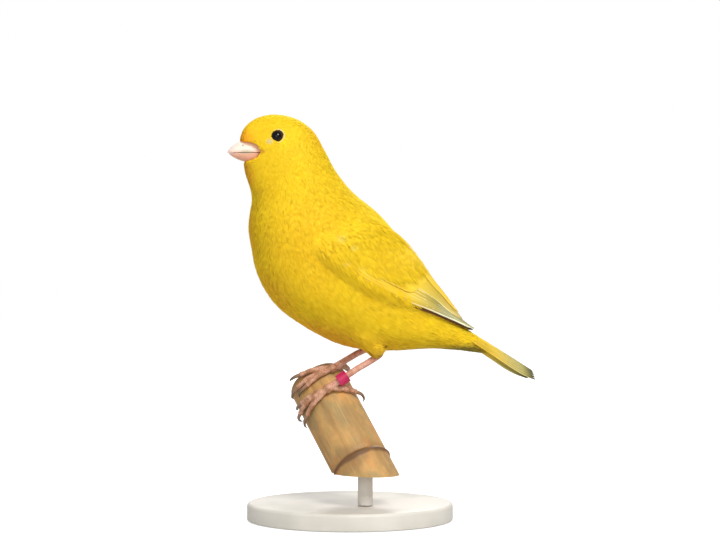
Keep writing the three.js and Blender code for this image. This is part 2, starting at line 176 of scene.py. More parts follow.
def on_trunk(station, angle, grown=0.0):
    """Points of the trunk's surface; the angle runs in degrees from the back over the left side"""
    part = np.asarray(station, float) / LAST
    back, front = BACK.at(part), FRONT.at(part)
    chord = back - front
    length = np.linalg.norm(chord, axis=-1)
    turn = np.radians(angle)
    half = length / 2 + grown
    fullness = HEAD_FULLNESS + (LOW_FULLNESS - HEAD_FULLNESS) * smooth(4, 8, station)
    wide = (WIDTH.at(part)[..., 1] + grown) * np.sin(turn) * (1 - fullness * np.cos(turn))
    point = (back + front) / 2 + chord * (half * np.cos(turn) / length)[..., None]
    point[..., 1] -= wide
    return point


def on_wing(along, across, aside=0.0, height=0.0):
    """Points over the left wing: along and across run from 0 to 1 over its outline"""
    low, high = LOWER_EDGE.at(along), UPPER_EDGE.at(along)
    across = np.asarray(across, float)
    station = low[..., 0] + (high[..., 0] - low[..., 0]) * across
    angle = low[..., 1] + (high[..., 1] - low[..., 1]) * across
    wide = WIDTH.at(station / LAST)[..., 1]
    return on_trunk(station, angle + np.degrees(aside / wide), height)


def on_cane(along, around, height):
    """Points over the cane: along its axis, in degrees round it from its upper side"""
    out = towards(CANE_UP, CANE_SIDE, np.radians(np.asarray(around, float)))
    reach = (CANE_RADIUS + np.asarray(height, float))[..., None]
    return CANE_UNDER + CANE_AXIS * np.asarray(along, float)[..., None] + reach * out


def on_toe(leg, toe, along, lift):
    """Points over the cane along a toe, from its pad at 0 to its end at 1"""
    wrap = math.degrees(toe["length"] / (CANE_RADIUS + GAP + toe["radius"]))
    return on_cane(
        leg["along"] + toe["splay"] * leg["inward"] * np.asarray(along),
        leg["around"] + wrap * np.asarray(along), GAP + np.asarray(lift, float))


def tree_of(points):
    """A tree that finds the nearest of many points"""
    tree = KDTree(len(points))
    for i, point in enumerate(points):
        tree.insert(point, i)
    tree.balance()
    return tree


class Lookup:
    """Finds the nearest of many placed points, and what was stored with each"""

    def __init__(self, points, values):
        self.tree, self.values = tree_of(points), values

    def near(self, points):
        found = [self.tree.find(point) for point in points]
        order = np.array([f[1] for f in found])
        return self.values[order], np.array([f[2] for f in found])


def grid_of(first, second):
    """Every first value with every second one, a row for each pair"""
    a, b = np.meshgrid(first, second, indexing="ij")
    return np.column_stack([a.ravel(), b.ravel()])


trunk_grid = grid_of(np.linspace(0, LAST, 217), np.linspace(-180, 177, 120))
TRUNK_PLACES = Lookup(on_trunk(trunk_grid[:, 0], trunk_grid[:, 1]), trunk_grid)
wing_grid = grid_of(np.linspace(0, 1, 121), np.linspace(0, 1, 41))
WING_PLACES = Lookup(on_wing(wing_grid[:, 0], wing_grid[:, 1]), wing_grid)


def wing_place(points):
    """Where points lie on the nearer wing: along, across, and how far off its outline in mm"""
    left = np.column_stack([points[:, 0], -np.abs(points[:, 1]), points[:, 2]])
    places, aside = WING_PLACES.near(left)
    return places[:, 0], places[:, 1], aside


def coat_depth(station):
    """How deep the coat lies over the skin, in mm"""
    return np.interp(station, [0, 2, 4, 6, 8, 10, 16, 18], [0.32, 0.4, 0.5, 0.65, 0.8, 0.9, 0.9, 0.6])


def wing_pad(points):
    """How much the folded arm under the wing's feathers raises the skin, from 0 to 1"""
    along, across, aside = wing_place(points)
    length = smooth(-0.02, 0.2, along) * (1 - smooth(0.52, 0.86, along))
    below = np.interp(along, [0.2, 0.6], [6.0, 2.4])
    reach = below + (7.0 - below) * smooth(0.3, 0.7, across)
    return length * (1 - smooth(0.0, 1.0, aside / reach))


# ---- modelling tools


FACE_OUTWARD = (bpy.ops.mesh.normals_make_consistent, {"inside": False})


def deselect():
    if bpy.context.object and bpy.context.object.mode != "OBJECT":
        bpy.ops.object.mode_set(mode="OBJECT")
    bpy.ops.object.select_all(action="DESELECT")


def choose(piece):
    deselect()
    piece.select_set(True)
    bpy.context.view_layer.objects.active = piece


def read(items, name, width, kind=np.float32):
    """A mesh's values as an array with a row for each item"""
    flat = np.zeros(len(items) * width, kind)
    items.foreach_get(name, flat)
    return flat.reshape(-1, width)


def corners(piece):
    return read(piece.data.vertices, "co", 3).astype(float)


def set_corners(piece, points):
    piece.data.vertices.foreach_set("co", np.asarray(points, np.float32).ravel())
    piece.data.update()


def apply_modifier(piece, kind, **settings):
    choose(piece)
    modifier = piece.modifiers.new(kind.title(), kind)
    for name, value in settings.items():
        setattr(modifier, name, value)
    bpy.ops.object.modifier_apply(modifier=modifier.name)


def edit_all(piece, *steps):
    """Runs edit-mode steps, each an operator and its settings, on all of a piece"""
    choose(piece)
    bpy.ops.object.mode_set(mode="EDIT")
    bpy.ops.mesh.select_all(action="SELECT")
    for operator, settings in steps:
        operator(**settings)
    bpy.ops.object.mode_set(mode="OBJECT")


def close_up(piece, smooth_degrees):
    """Joins a form's seam and poles, turns its faces outward and smooths its shading"""
    edit_all(piece, (bpy.ops.mesh.remove_doubles, {"threshold": 2e-6}), FACE_OUTWARD)
    if smooth_degrees >= 180:
        bpy.ops.object.shade_smooth()
    else:
        bpy.ops.object.shade_smooth_by_angle(angle=math.radians(smooth_degrees))


def loft(name, sides, steps, place, smooth_degrees=40):
    """A closed form from a grid: place(around, along), both 0..1, gives its points in mm"""
    deselect()
    bpy.ops.mesh.primitive_grid_add(x_subdivisions=sides, y_subdivisions=steps, size=1.0, calc_uvs=True)
    piece = bpy.context.object
    piece.name = piece.data.name = name
    flat = corners(piece)
    set_corners(piece, place(flat[:, 0] + 0.5, flat[:, 1] + 0.5) * MM)
    close_up(piece, smooth_degrees)
    return piece


def ends(along, steps, rows=3):
    """Splits a loft's rows into its length, 0..1, and two closed ends: returns (part, reach)"""
    row = along * steps
    reach = np.clip(np.minimum(row, steps - row) / rows, 0, 1)
    return np.clip((row - rows) / (steps - 2 * rows), 0, 1), reach


def tube(line, radius, aside, sides, steps, name):
    """A closed tube of varying radius(part, turn) along line(part)"""
    def place(around, along):
        part, reach = ends(along, steps)
        turn = 2 * np.pi * around
        tangent = unit(line(np.clip(part + 0.01, 0, 1)) - line(np.clip(part - 0.01, 0, 1)))
        first = unit(np.cross(tangent, aside))
        second = np.cross(first, tangent)
        size = (radius(part, turn) * np.sqrt(1 - (1 - reach) ** 2))[:, None]
        return line(part) + size * towards(second, first, turn)
    return loft(name, sides, steps, place)


def mesh_piece(name, points, faces):
    """A piece from arrays of points (mm) and of faces with one number of corners"""
    mesh = bpy.data.meshes.new(name)
    mesh.vertices.add(len(points))
    mesh.vertices.foreach_set("co", (points * MM).astype(np.float32).ravel())
    mesh.loops.add(faces.size)
    mesh.loops.foreach_set("vertex_index", faces.astype(np.int32).ravel())
    mesh.polygons.add(len(faces))
    mesh.polygons.foreach_set("loop_start", np.arange(0, faces.size, faces.shape[1], dtype=np.int32))
    mesh.update(calc_edges=True)
    mesh.shade_smooth()
    piece = bpy.data.objects.new(name, mesh)
    bpy.context.scene.collection.objects.link(piece)
    return piece


def corner_uv(piece, name, places):
    """A UV map from one place per vertex"""
    layer = piece.data.uv_layers.new(name=name)
    order = read(piece.data.loops, "vertex_index", 1, np.int32)[:, 0]
    layer.data.foreach_set("uv", places[order].astype(np.float32).ravel())


def corner_value(piece, name, values):
    layer = piece.data.attributes.new(name, "FLOAT", "POINT")
    layer.data.foreach_set("value", np.asarray(values, np.float32).ravel())


def finished(piece, material, slot, *nodes):
    """Gives a piece its finish and its body, and hides the nodes that it stands for; the slot argument is not
    used
    """
    piece.data.materials.clear()
    piece.data.materials.append(material)
    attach(piece, "root")
    if nodes:
        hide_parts(*nodes)
    return piece


# ---- materials


def srgb(red, green, blue):
    """A colour as it looks, 0..255, in the linear values that shaders use"""
    parts = [value / 255 for value in (red, green, blue)]
    return tuple(v / 12.92 if v <= 0.04045 else ((v + 0.055) / 1.055) ** 2.4 for v in parts) + (1.0,)


def give(tree, socket, value):
    """Links a node's input to a socket, or sets it to a constant"""
    if isinstance(value, bpy.types.NodeSocket):
        tree.links.new(value, socket)
    else:
        socket.default_value = value


def add_node(tree, kind, inputs=None, **settings):
    node = tree.nodes.new("ShaderNode" + kind)
    for name, value in settings.items():
        setattr(node, name, value)
    for name, value in (inputs or {}).items():
        give(tree, node.inputs[name], value)
    return node


def calc(tree, operation, first, second=0.0, third=0.0):
    return add_node(tree, "Math", {0: first, 1: second, 2: third}, operation=operation).outputs[0]


def blend(tree, part, first, second, mode="MIX"):
    """Mixes two colours"""
    return add_node(tree, "Mix", {0: part, 6: first, 7: second}, data_type="RGBA", blend_type=mode).outputs[2]


def span(tree, value, low, high, start=0.0, end=1.0):
    """A smooth step of a value from start, below low, to end, above high"""
    inputs = {"Value": value, "From Min": low, "From Max": high, "To Min": start, "To Max": end}
    return add_node(tree, "MapRange", inputs, interpolation_type="SMOOTHSTEP").outputs[0]


def noise(tree, vector, scale, detail=3.0, roughness=0.5):
    inputs = {"Vector": vector, "Scale": scale, "Detail": detail, "Roughness": roughness}
    return add_node(tree, "TexNoise", inputs).outputs["Fac"]


def stretched(tree, vector, scale, turn=(0, 0, 0), shift=(0, 0, 0)):
    return add_node(tree, "Mapping", {
        "Vector": vector, "Scale": scale, "Rotation": turn, "Location": shift}).outputs[0]


def split(tree, vector):
    """A vector's X, Y and Z"""
    return add_node(tree, "SeparateXYZ", {0: vector}).outputs


def vector_calc(tree, operation, first, second=(0, 0, 0)):
    return add_node(tree, "VectorMath", {0: first, 1: second}, operation=operation).outputs


def value_of(tree, name):
    """A value stored with a mesh's corners"""
    return add_node(tree, "Attribute", attribute_name=name).outputs["Fac"]


def painted(tree, colour, *coats):
    """Lays colours over one another: each coat is (value, low, high, start, end, colour)"""
    for value, low, high, start, end, paint in coats:
        colour = blend(tree, span(tree, value, low, high, start, end), colour, paint)
    return colour


def here(tree):
    """The place on the piece, in metres"""
    return add_node(tree, "TexCoord").outputs["Object"]


def bump(tree, height, strength, distance):
    return add_node(tree, "Bump", {"Height": height, "Strength": strength, "Distance": distance}).outputs[0]


def camera_ray(tree):
    return add_node(tree, "LightPath").outputs["Is Camera Ray"]


def new_group(name, inputs, outputs):
    """A shader node group with named sockets; returns its tree, its input node and a way to set outputs"""
    tree = bpy.data.node_groups.new(name, "ShaderNodeTree")
    for label, kind, default in inputs:
        socket = tree.interface.new_socket(label, in_out="INPUT", socket_type="NodeSocket" + kind)
        if default is not None:
            socket.default_value = default
    for label, kind in outputs:
        tree.interface.new_socket(label, in_out="OUTPUT", socket_type="NodeSocket" + kind)
    given, result = tree.nodes.new("NodeGroupInput"), tree.nodes.new("NodeGroupOutput")
    return tree, given.outputs, lambda label, socket: tree.links.new(socket, result.inputs[label])


def use_group(tree, group, **inputs):
    node = tree.nodes.new("ShaderNodeGroup")
    node.node_tree = group
    for name, value in inputs.items():
        give(tree, node.inputs[name.capitalize()], value)
    return node.outputs


def new_material(name, constants):
    material = bpy.data.materials.new(name)
    material.use_nodes = True
    tree = material.node_tree
    shader = tree.nodes["Principled BSDF"]
    for label, value in constants.items():
        shader.inputs[label].default_value = value

    def feed(label, socket):
        tree.links.new(socket, shader.inputs[label])
    return material, tree, feed


# Plumage markings and painted shade over the base yellow: centre (mm, the same on both sides), radii, colour,
# strength
PLUMAGE_BASE = srgb(255, 216, 4)
PLUMAGE_PATCHES = [
    ((8, 0, 108), (26, 15, 16), srgb(255, 226, 30), 0.6),
    ((-28, 0, 141), (13, 10, 7), srgb(253, 222, 6), 0.8),
    ((-22, 9, 129), (8, 6, 7), srgb(255, 222, 20), 0.8),
    ((-20, 19, 96), (20, 12, 22), srgb(255, 208, 10), 0.7),
    ((-12, 0, 134), (6, 9, 8), srgb(252, 192, 8), 0.6),
    ((-37.5, 0, 132), (6, 8, 5), srgb(252, 160, 16), 0.9),
    ((-33.4, 6.6, 127.9), (3.2, 3, 1.2), srgb(192, 112, 36), 0.75),
    ((-29.8, 8, 131.3), (1.5, 3, 1.3), srgb(224, 218, 180), 0.75),
    # Chin and throat: orange, partly the plumage's colour and partly painted shade under the bill
    ((-37.5, 0, 120), (6, 7, 8), srgb(220, 150, 20), 0.8),
    # The thigh's lower end: darker olive, painted shade under the belly
    ((8, 8, 57.6), (6, 6, 4), srgb(186, 150, 40), 0.8),
    # A painted shadow in the crease between throat and breast
    ((-36, 9, 114), (5.5, 8, 2.8), srgb(214, 158, 24), 0.6),
    # The next three, breast front, lower breast and belly: deeper ochre, partly the plumage's tone and partly
    # painted shade on the underside
    ((-40, 0, 98), (9, 13, 18), srgb(238, 172, 14), 0.75),
    ((-30, 0, 76), (14, 22, 16), srgb(246, 180, 24), 0.6),
    ((-4, 0, 64), (32, 16, 13), srgb(250, 176, 44), 0.85),
    ((-7.4, 20, 97.4), (2.6, 5, 2.2), srgb(255, 238, 110), 0.7),
    ((-3.2, 20, 94.4), (2.2, 5, 1.8), srgb(255, 238, 120), 0.6),
    ((-6, 20.5, 88.9), (2.4, 4, 1.5), srgb(226, 196, 130), 0.7),
    # The next two, vent and under the tail: olive, painted shade under the body and the tail
    ((26, 0, 57), (20, 10, 7), srgb(196, 164, 58), 0.85),
    ((41, 0, 58), (13, 10, 5.6), srgb(100, 96, 46), 0.95),
    ((46, 0, 67), (12, 8, 4.5), srgb(250, 214, 30), 0.8),
]


def build_plumage_and_shade():
    """The plumage's colour by place, with its painted shade, shared by the skin, the coat and the wing's
    coverts
    """
    tree, given, put = new_group(
        "PlumageColourAndShade", [("Place", "Vector", None), ("Tone", "Float", 0.5)], [("Color", "Color")])
    parts = split(tree, given["Place"])
    side = calc(tree, "ABSOLUTE", parts["Y"])
    place = add_node(tree, "CombineXYZ", {"X": parts["X"], "Y": side, "Z": parts["Z"]}).outputs[0]
    colour = PLUMAGE_BASE
    for centre, radii, patch, strength in PLUMAGE_PATCHES:
        off = vector_calc(tree, "SUBTRACT", place, tuple(c * MM for c in centre))[0]
        off = vector_calc(tree, "DIVIDE", off, tuple(r * MM for r in radii))[0]
        far = vector_calc(tree, "LENGTH", off)["Value"]
        colour = painted(tree, colour, (far, 0.35, 1.05, strength, 0.0, patch))
    cloudy = noise(tree, given["Place"], 90.0, 2.0)
    colour = painted(tree, colour, (cloudy, 0.35, 0.75, 0.0, 0.25, srgb(250, 190, 6)))
    darker = blend(tree, 1.0, colour, srgb(240, 228, 190), "MULTIPLY")
    lighter = blend(tree, 0.16, colour, srgb(255, 240, 120))
    put("Color", blend(tree, given["Tone"], darker, lighter))
    return tree


def build_barbs():
    """The fine slanted barbs of a vane, from its own map: u along it, v across it from -1 to 1"""
    tree, given, put = new_group(
        "Barbs", [("Map", "Vector", None), ("Count", "Float", 60.0)],
        [("Height", "Float"), ("Side", "Float"), ("Length", "Float")])
    parts = split(tree, given["Map"])
    side = calc(tree, "ABSOLUTE", parts["Y"])
    slant = calc(tree, "SUBTRACT", parts["X"], calc(tree, "MULTIPLY", side, 0.16))
    uneven = calc(tree, "MULTIPLY", noise(tree, given["Map"], 9.0), 0.02)
    lines = calc(tree, "SINE", calc(tree, "MULTIPLY", calc(
        tree, "MULTIPLY", calc(tree, "ADD", slant, uneven), given["Count"]), 6.2832))
    shaft = span(tree, side, 0.03, 0.09, 1.6, 0.0)
    put("Height", calc(tree, "ADD", calc(tree, "MULTIPLY", lines, 0.5), shaft))
    put("Side", parts["Y"])
    put("Length", parts["X"])
    return tree


PLUMAGE_AND_SHADE = build_plumage_and_shade()
BARBS = build_barbs()


def plumage_material(name, on_coat):
    material, tree, feed = new_material(name, {
        "Roughness": 0.75, "Specular IOR Level": 0.12, "Sheen Weight": 0.1, "Sheen Roughness": 0.5,
        "Sheen Tint": srgb(255, 226, 60)})
    place = here(tree)
    if on_coat:
        tone = value_of(tree, "Tone")
        feed("Base Color", use_group(tree, PLUMAGE_AND_SHADE, place=place, tone=tone)["Color"])
        feed("Roughness", span(tree, tone, 0.0, 1.0, 0.8, 0.62))
    else:
        fine = noise(tree, place, 1400.0, 2.0)
        tone = span(tree, fine, 0.3, 0.7, 0.0, 0.35)
        feed("Base Color", use_group(tree, PLUMAGE_AND_SHADE, place=place, tone=tone)["Color"])
        feed("Normal", bump(tree, fine, 0.5, 0.0003))
    return material


def vane_material(name, inner, outer, edge, tip, edge_from, yellow_to):
    """A wing or tail feather: yellow from the plumage colour and its painted shade where Flight is 0, its own
    webs where it is 1, and where it is 2 a dark brown that paints the shadow under the wing's lower edge"""
    material, tree, feed = new_material(name, {
        "Roughness": 0.6, "Specular IOR Level": 0.2, "Sheen Weight": 0.05, "Sheen Roughness": 0.5})
    flight = value_of(tree, "Flight")
    tone = value_of(tree, "Tone")
    rank = value_of(tree, "Rank")
    map_ = add_node(tree, "UVMap", uv_map="Vane").outputs[0]
    barbs = use_group(tree, BARBS, map=map_, count=64.0)
    streak = noise(tree, stretched(tree, map_, (3.0, 14.0, 1.0)), 2.0, 4.0)
    yellow = use_group(tree, PLUMAGE_AND_SHADE, place=here(tree), tone=tone)["Color"]
    yellow = painted(tree, yellow, (barbs["Length"], 0.85, 1.0, 0.0, 0.12, srgb(255, 238, 110)))
    side = calc(tree, "ABSOLUTE", barbs["Side"])
    web = painted(
        tree, blend(tree, rank, inner, outer),
        (tone, 0.3, 0.6, 0.4, 0.0, srgb(112, 106, 60)),
        (streak, 0.35, 0.75, 0.0, 0.4, srgb(138, 130, 70)),
        (side, edge_from, edge_from + 0.14, 0.0, 1.0, edge),
        (barbs["Length"], 0.84, 1.0, 0.0, 0.85, tip),
        (barbs["Length"], yellow_to - 0.45, yellow_to, 0.9, 0.0, yellow))
    colour = blend(tree, flight, yellow, web)
    # Where Flight is 2: dark brown, a painted shadow under the wing's lower edge
    feed("Base Color", painted(tree, colour, (flight, 1.2, 1.8, 0.0, 1.0, srgb(112, 68, 22))))
    feed("Normal", bump(tree, barbs["Height"], 0.35, 0.00012))
    return material


def bill_material():
    """Pale pink horn with a paler upper mandible, partly a painted highlight from above, a grey-green band at
    the cutting edge and nostrils darkened with painted shade
    """
    material, tree, feed = new_material("BillHorn", {
        "Roughness": 0.32, "Specular IOR Level": 0.45, "Subsurface Weight": 0.15, "Subsurface Scale": 0.002,
        "Subsurface Radius": (1.0, 0.5, 0.35), "Coat Weight": 0.15, "Coat Roughness": 0.3})
    place = here(tree)
    parts = split(tree, place)
    growth = noise(tree, stretched(tree, place, (260.0, 900.0, 900.0)), 1.0, 4.0)
    # The upper mandible paler than the lower: partly the horn's colour, partly a painted highlight from above
    upper = span(tree, parts["Z"], (BILL_MOUTH - 0.4) * MM, (BILL_MOUTH + 1.2) * MM)
    colour = blend(tree, upper, srgb(226, 166, 138), srgb(246, 226, 212))
    colour = blend(tree, span(tree, growth, 0.35, 0.7, 0.0, 0.3), colour, srgb(236, 196, 176))
    base = span(tree, parts["X"], -36.5 * MM, -32.0 * MM)
    colour = blend(tree, calc(tree, "MULTIPLY", base, 0.4), colour, srgb(222, 150, 104))
    # A grey-green band along the mouth line
    band_middle = (-37.2 * MM, 0.0, 3 * (BILL_MOUTH + 0.3) * MM)
    edge = vector_calc(tree, "DISTANCE", stretched(tree, place, (1.0, 0.0, 3.0)), band_middle)["Value"]
    colour = painted(
        tree, colour,
        (edge, 0.0006, 0.0034, 0.75, 0.0, srgb(168, 166, 138)),
        (parts["X"], -43.6 * MM, -40.6 * MM, 0.6, 0.0, srgb(222, 184, 178)))
    # Painted shade in the nostril openings
    for side in (-1, 1):
        middle = tuple(NOSTRIL * [MM, side * MM, MM] + [0, side * 0.0004, 0])
        pit = vector_calc(tree, "DISTANCE", place, middle)["Value"]
        colour = painted(tree, colour, (pit, 0.0003, 0.00065, 0.85, 0.0, srgb(96, 62, 50)))
    feed("Base Color", colour)
    feed("Roughness", span(tree, growth, 0.3, 0.7, 0.26, 0.42))
    feed("Normal", bump(tree, growth, 0.25, 0.00012))
    return material


def eye_material():
    material, tree, feed = new_material("EyeDark", {
        "Roughness": 0.1, "Specular IOR Level": 0.18, "Coat Weight": 0.12, "Coat Roughness": 0.02})
    map_ = add_node(tree, "UVMap", uv_map="UVMap").outputs[0]
    parts = split(tree, map_)
    rays = noise(tree, stretched(tree, map_, (46.0, 2.0, 1.0)), 1.0, 3.0)
    iris = blend(tree, rays, srgb(30, 16, 8), srgb(62, 36, 18))
    colour = blend(tree, span(tree, parts["Y"], 0.18, 0.21), srgb(5, 4, 4), iris)
    feed("Base Color", blend(tree, span(tree, parts["Y"], 0.29, 0.33), colour, srgb(12, 8, 6)))
    return material


def skin_material(name, main, shade, pale, scale, depth):
    """Bare skin with small scales: lids, tarsi and toes"""
    material, tree, feed = new_material(name, {
        "Roughness": 0.5, "Specular IOR Level": 0.4, "Subsurface Weight": 0.12,
        "Subsurface Scale": 0.0015, "Subsurface Radius": (1.0, 0.45, 0.3)})
    place = here(tree)
    cells = add_node(tree, "TexVoronoi", {"Vector": place, "Scale": scale}, feature="DISTANCE_TO_EDGE")
    seam = span(tree, cells.outputs[0], 0.0, 0.12)
    cloud = noise(tree, place, scale * 0.3, 3.0)
    colour = blend(tree, span(tree, cloud, 0.35, 0.65), main, pale)
    feed("Base Color", blend(tree, seam, blend(tree, 0.35, colour, shade), colour))
    feed("Roughness", span(tree, cloud, 0.3, 0.7, 0.4, 0.62))
    feed("Normal", bump(tree, seam, 0.5, depth))
    return material


def claw_material():
    material, tree, feed = new_material("ClawHorn", {
        "Roughness": 0.3, "Coat Weight": 0.2, "Coat Roughness": 0.2})
    map_ = add_node(tree, "UVMap", uv_map="UVMap").outputs[0]
    parts = split(tree, map_)
    growth = noise(tree, stretched(tree, map_, (16.0, 3.0, 1.0)), 1.0, 3.0)
    colour = blend(tree, span(tree, parts["Y"], 0.1, 0.75), srgb(150, 112, 88), srgb(56, 52, 42))
    feed("Base Color", blend(tree, span(tree, growth, 0.4, 0.7, 0.0, 0.35), colour, srgb(120, 118, 92)))
    feed("Normal", bump(tree, growth, 0.25, 0.0001))
    return material


def ring_material():
    material, tree, feed = new_material("RingPlastic", {"Roughness": 0.35, "Specular IOR Level": 0.5})
    place = here(tree)
    wear = noise(tree, place, 500.0, 4.0)
    feed("Base Color", blend(tree, span(tree, wear, 0.35, 0.75), srgb(178, 12, 72), srgb(196, 36, 94)))
    feed("Roughness", span(tree, wear, 0.3, 0.7, 0.28, 0.48))
    feed("Normal", bump(tree, noise(tree, place, 1800.0), 0.15, 0.0001))
    return material


def cane_material():
    """A dry cane: long fibres and blotches, darker at its knot, and with painted shade on its upper end under
    the feet
    """
    material, tree, feed = new_material("CaneWood", {"Roughness": 0.55, "Specular IOR Level": 0.35})
    turn = Matrix([CANE_UP, CANE_SIDE, CANE_AXIS])
    shift = -(turn @ Vector(CANE_UNDER * MM))
    place = stretched(tree, here(tree), (1, 1, 1), tuple(turn.to_euler()), tuple(shift))
    parts = split(tree, place)
    fibres = noise(tree, stretched(tree, place, (1500.0, 1500.0, 45.0)), 1.0, 5.0, 0.6)
    streaks = noise(tree, stretched(tree, place, (420.0, 420.0, 22.0)), 1.0, 4.0)
    blotches = noise(tree, stretched(tree, place, (130.0, 130.0, 70.0)), 1.0, 4.0, 0.6)
    colour = blend(tree, span(tree, blotches, 0.3, 0.7), srgb(160, 128, 82), srgb(206, 160, 96))
    stains = noise(tree, stretched(tree, place, (200.0, 200.0, 120.0), shift=(0.3, 0.1, 0.7)), 1.0, 3.0)
    knot = calc(tree, "ABSOLUTE", calc(tree, "SUBTRACT", parts["Z"], CANE_KNOT * MM))
    wander = calc(tree, "ADD", knot, calc(tree, "MULTIPLY", calc(tree, "SUBTRACT", blotches, 0.5), 0.002))
    # Painted shade on the cane's upper end, where the feet hold it
    top = calc(tree, "ADD", parts["Z"], calc(tree, "MULTIPLY", blotches, 0.006))
    feed("Base Color", painted(
        tree, colour,
        (stains, 0.52, 0.72, 0.0, 0.6, srgb(148, 136, 92)),
        (stains, 0.46, 0.3, 0.0, 0.45, srgb(206, 138, 70)),
        (streaks, 0.52, 0.75, 0.0, 0.5, srgb(134, 96, 56)),
        (fibres, 0.55, 0.8, 0.0, 0.4, srgb(104, 74, 44)),
        (fibres, 0.45, 0.2, 0.0, 0.4, srgb(232, 198, 140)),
        (wander, 0.0003, 0.0016, 0.9, 0.0, srgb(70, 46, 30)),
        (wander, 0.001, 0.006, 0.35, 0.0, srgb(140, 98, 58)),
        (top, 0.008, 0.0165, 0.0, 0.65, srgb(112, 78, 50))))
    feed("Roughness", span(tree, streaks, 0.3, 0.7, 0.45, 0.68))
    feed("Normal", bump(tree, fibres, 0.5, 0.0003))
    return material


def stand_material():
    material, tree, feed = new_material("StandSatin", {"Roughness": 0.4, "Specular IOR Level": 0.4})
    place = here(tree)
    fine = noise(tree, place, 2600.0, 2.0)
    cloud = noise(tree, place, 60.0, 3.0)
    feed("Base Color", blend(tree, span(tree, cloud, 0.35, 0.65), srgb(206, 202, 193), srgb(216, 212, 204)))
    feed("Roughness", span(tree, cloud, 0.3, 0.7, 0.34, 0.48))
    feed("Normal", bump(tree, fine, 0.12, 0.0001))
    return material


FLOOR_GLOW = 0.78


def floor_material():
    """A pale floor that the camera sees as nearly white, so that it runs into the backdrop"""
    material, tree, feed = new_material("PaleFloor", {
        "Roughness": 0.8, "Specular IOR Level": 0.1, "Emission Color": srgb(255, 255, 255)})
    cloud = noise(tree, here(tree), 6.0, 3.0)
    feed("Base Color", blend(tree, cloud, srgb(196, 196, 194), srgb(202, 202, 200)))
    feed("Emission Strength", calc(tree, "MULTIPLY", camera_ray(tree), FLOOR_GLOW))
    return material


COAT = plumage_material("PlumageCoat", True)
SKIN = plumage_material("PlumageSkin", False)
WING_VANE = vane_material(
    "WingVane", srgb(164, 158, 104), srgb(160, 150, 80), srgb(240, 240, 206), srgb(184, 184, 150), 0.5, 0.6)
TAIL_VANE = vane_material(
    "TailVane", srgb(112, 112, 30), srgb(168, 158, 60), srgb(214, 200, 130), srgb(44, 44, 36), 0.66, 0.86)
BILL = bill_material()
EYE_DARK = eye_material()
LID = skin_material("LidSkin", srgb(232, 206, 120), srgb(150, 120, 70), srgb(240, 228, 176), 3200.0, 0.0001)
LEG = skin_material("LegSkin", srgb(206, 140, 118), srgb(124, 78, 60), srgb(226, 176, 154), 1500.0, 0.0002)
FOOT = skin_material("FootSkin", srgb(170, 118, 84), srgb(84, 54, 40), srgb(216, 166, 138), 1500.0, 0.0002)
CLAW, RING, CANE = claw_material(), ring_material(), cane_material()
STAND, FLOOR = stand_material(), floor_material()

# ---- skin and coat


def trunk_skin():
    """The trunk from bill to tail inside the coat, raised under the folded wings"""
    steps = 190

    def place(around, along):
        part, reach = ends(along, steps, 4)
        station, angle = LAST * part, 360 * around
        outside = on_trunk(station, angle)
        grown = 2.1 * wing_pad(outside) - coat_depth(station)
        middle = (BACK.at(part) + FRONT.at(part)) / 2
        skin = on_trunk(station, angle, grown)
        return middle + (skin - middle) * reach[:, None]
    return loft("skin", 120, steps, place)


def thigh_skin(side, leg):
    line = Curve([leg["hip"], (np.array(leg["hip"]) + leg["heel"]) / 2, leg["heel"]])

    def radius(part, turn):
        return THIGH_TOP + (THIGH_END - THIGH_TOP) * part ** 0.8
    return tube(line.at, radius, [0, 1, 0], 32, 30, "thigh_" + side)


def bed_sizes(x):
    """Half the width and half the height of the bill's bed at x"""
    ahead = np.maximum(BED_BACK - x, 0)
    return 4.6 + ahead, np.minimum(3.3, 1.2 + ahead)


def bill_bed():
    """The hollow of the face that the bill sits in"""
    def place(around, along):
        part, reach = ends(along, 12, 2)
        x = BED_BACK + (-46 - BED_BACK) * part
        half, height = bed_sizes(x)
        turn = 2 * np.pi * around
        return np.column_stack([
            x, half * np.sin(turn) * reach, BILL_MOUTH + BED_RISE + height * np.cos(turn) * reach])
    return loft("bed", 48, 30, place)


def off_leg(points, leg, most):
    """How far points lie from a leg's line, where along it (0 at the hip, 1 at the heel), and the line"""
    hip, heel = np.array(leg["hip"], float), np.array(leg["heel"], float)
    line = heel - hip
    part = np.clip((points - hip) @ line / (line @ line), 0, most)
    return np.linalg.norm(points - hip - part[:, None] * line, axis=1), part, line


def soften_thighs(skin):
    """Rounds the crease between each thigh and the belly"""
    points = corners(skin) / MM
    soft = np.zeros(len(points))
    for leg in LEGS.values():
        near, part, _ = off_leg(points, leg, 1)
        soft = np.maximum(soft, (1 - smooth(9.0, 13.0, near)) * (1 - smooth(0.55, 0.85, part)))
    group = skin.vertex_groups.new(name="Thighs")
    for i in np.flatnonzero(soft > 0.01):
        group.add([int(i)], float(soft[i]), "REPLACE")
    apply_modifier(skin, "SMOOTH", factor=0.5, iterations=180, vertex_group="Thighs")
    skin.vertex_groups.clear()


SKIN_VOXEL, TOE_VOXEL = 0.42, 0.13


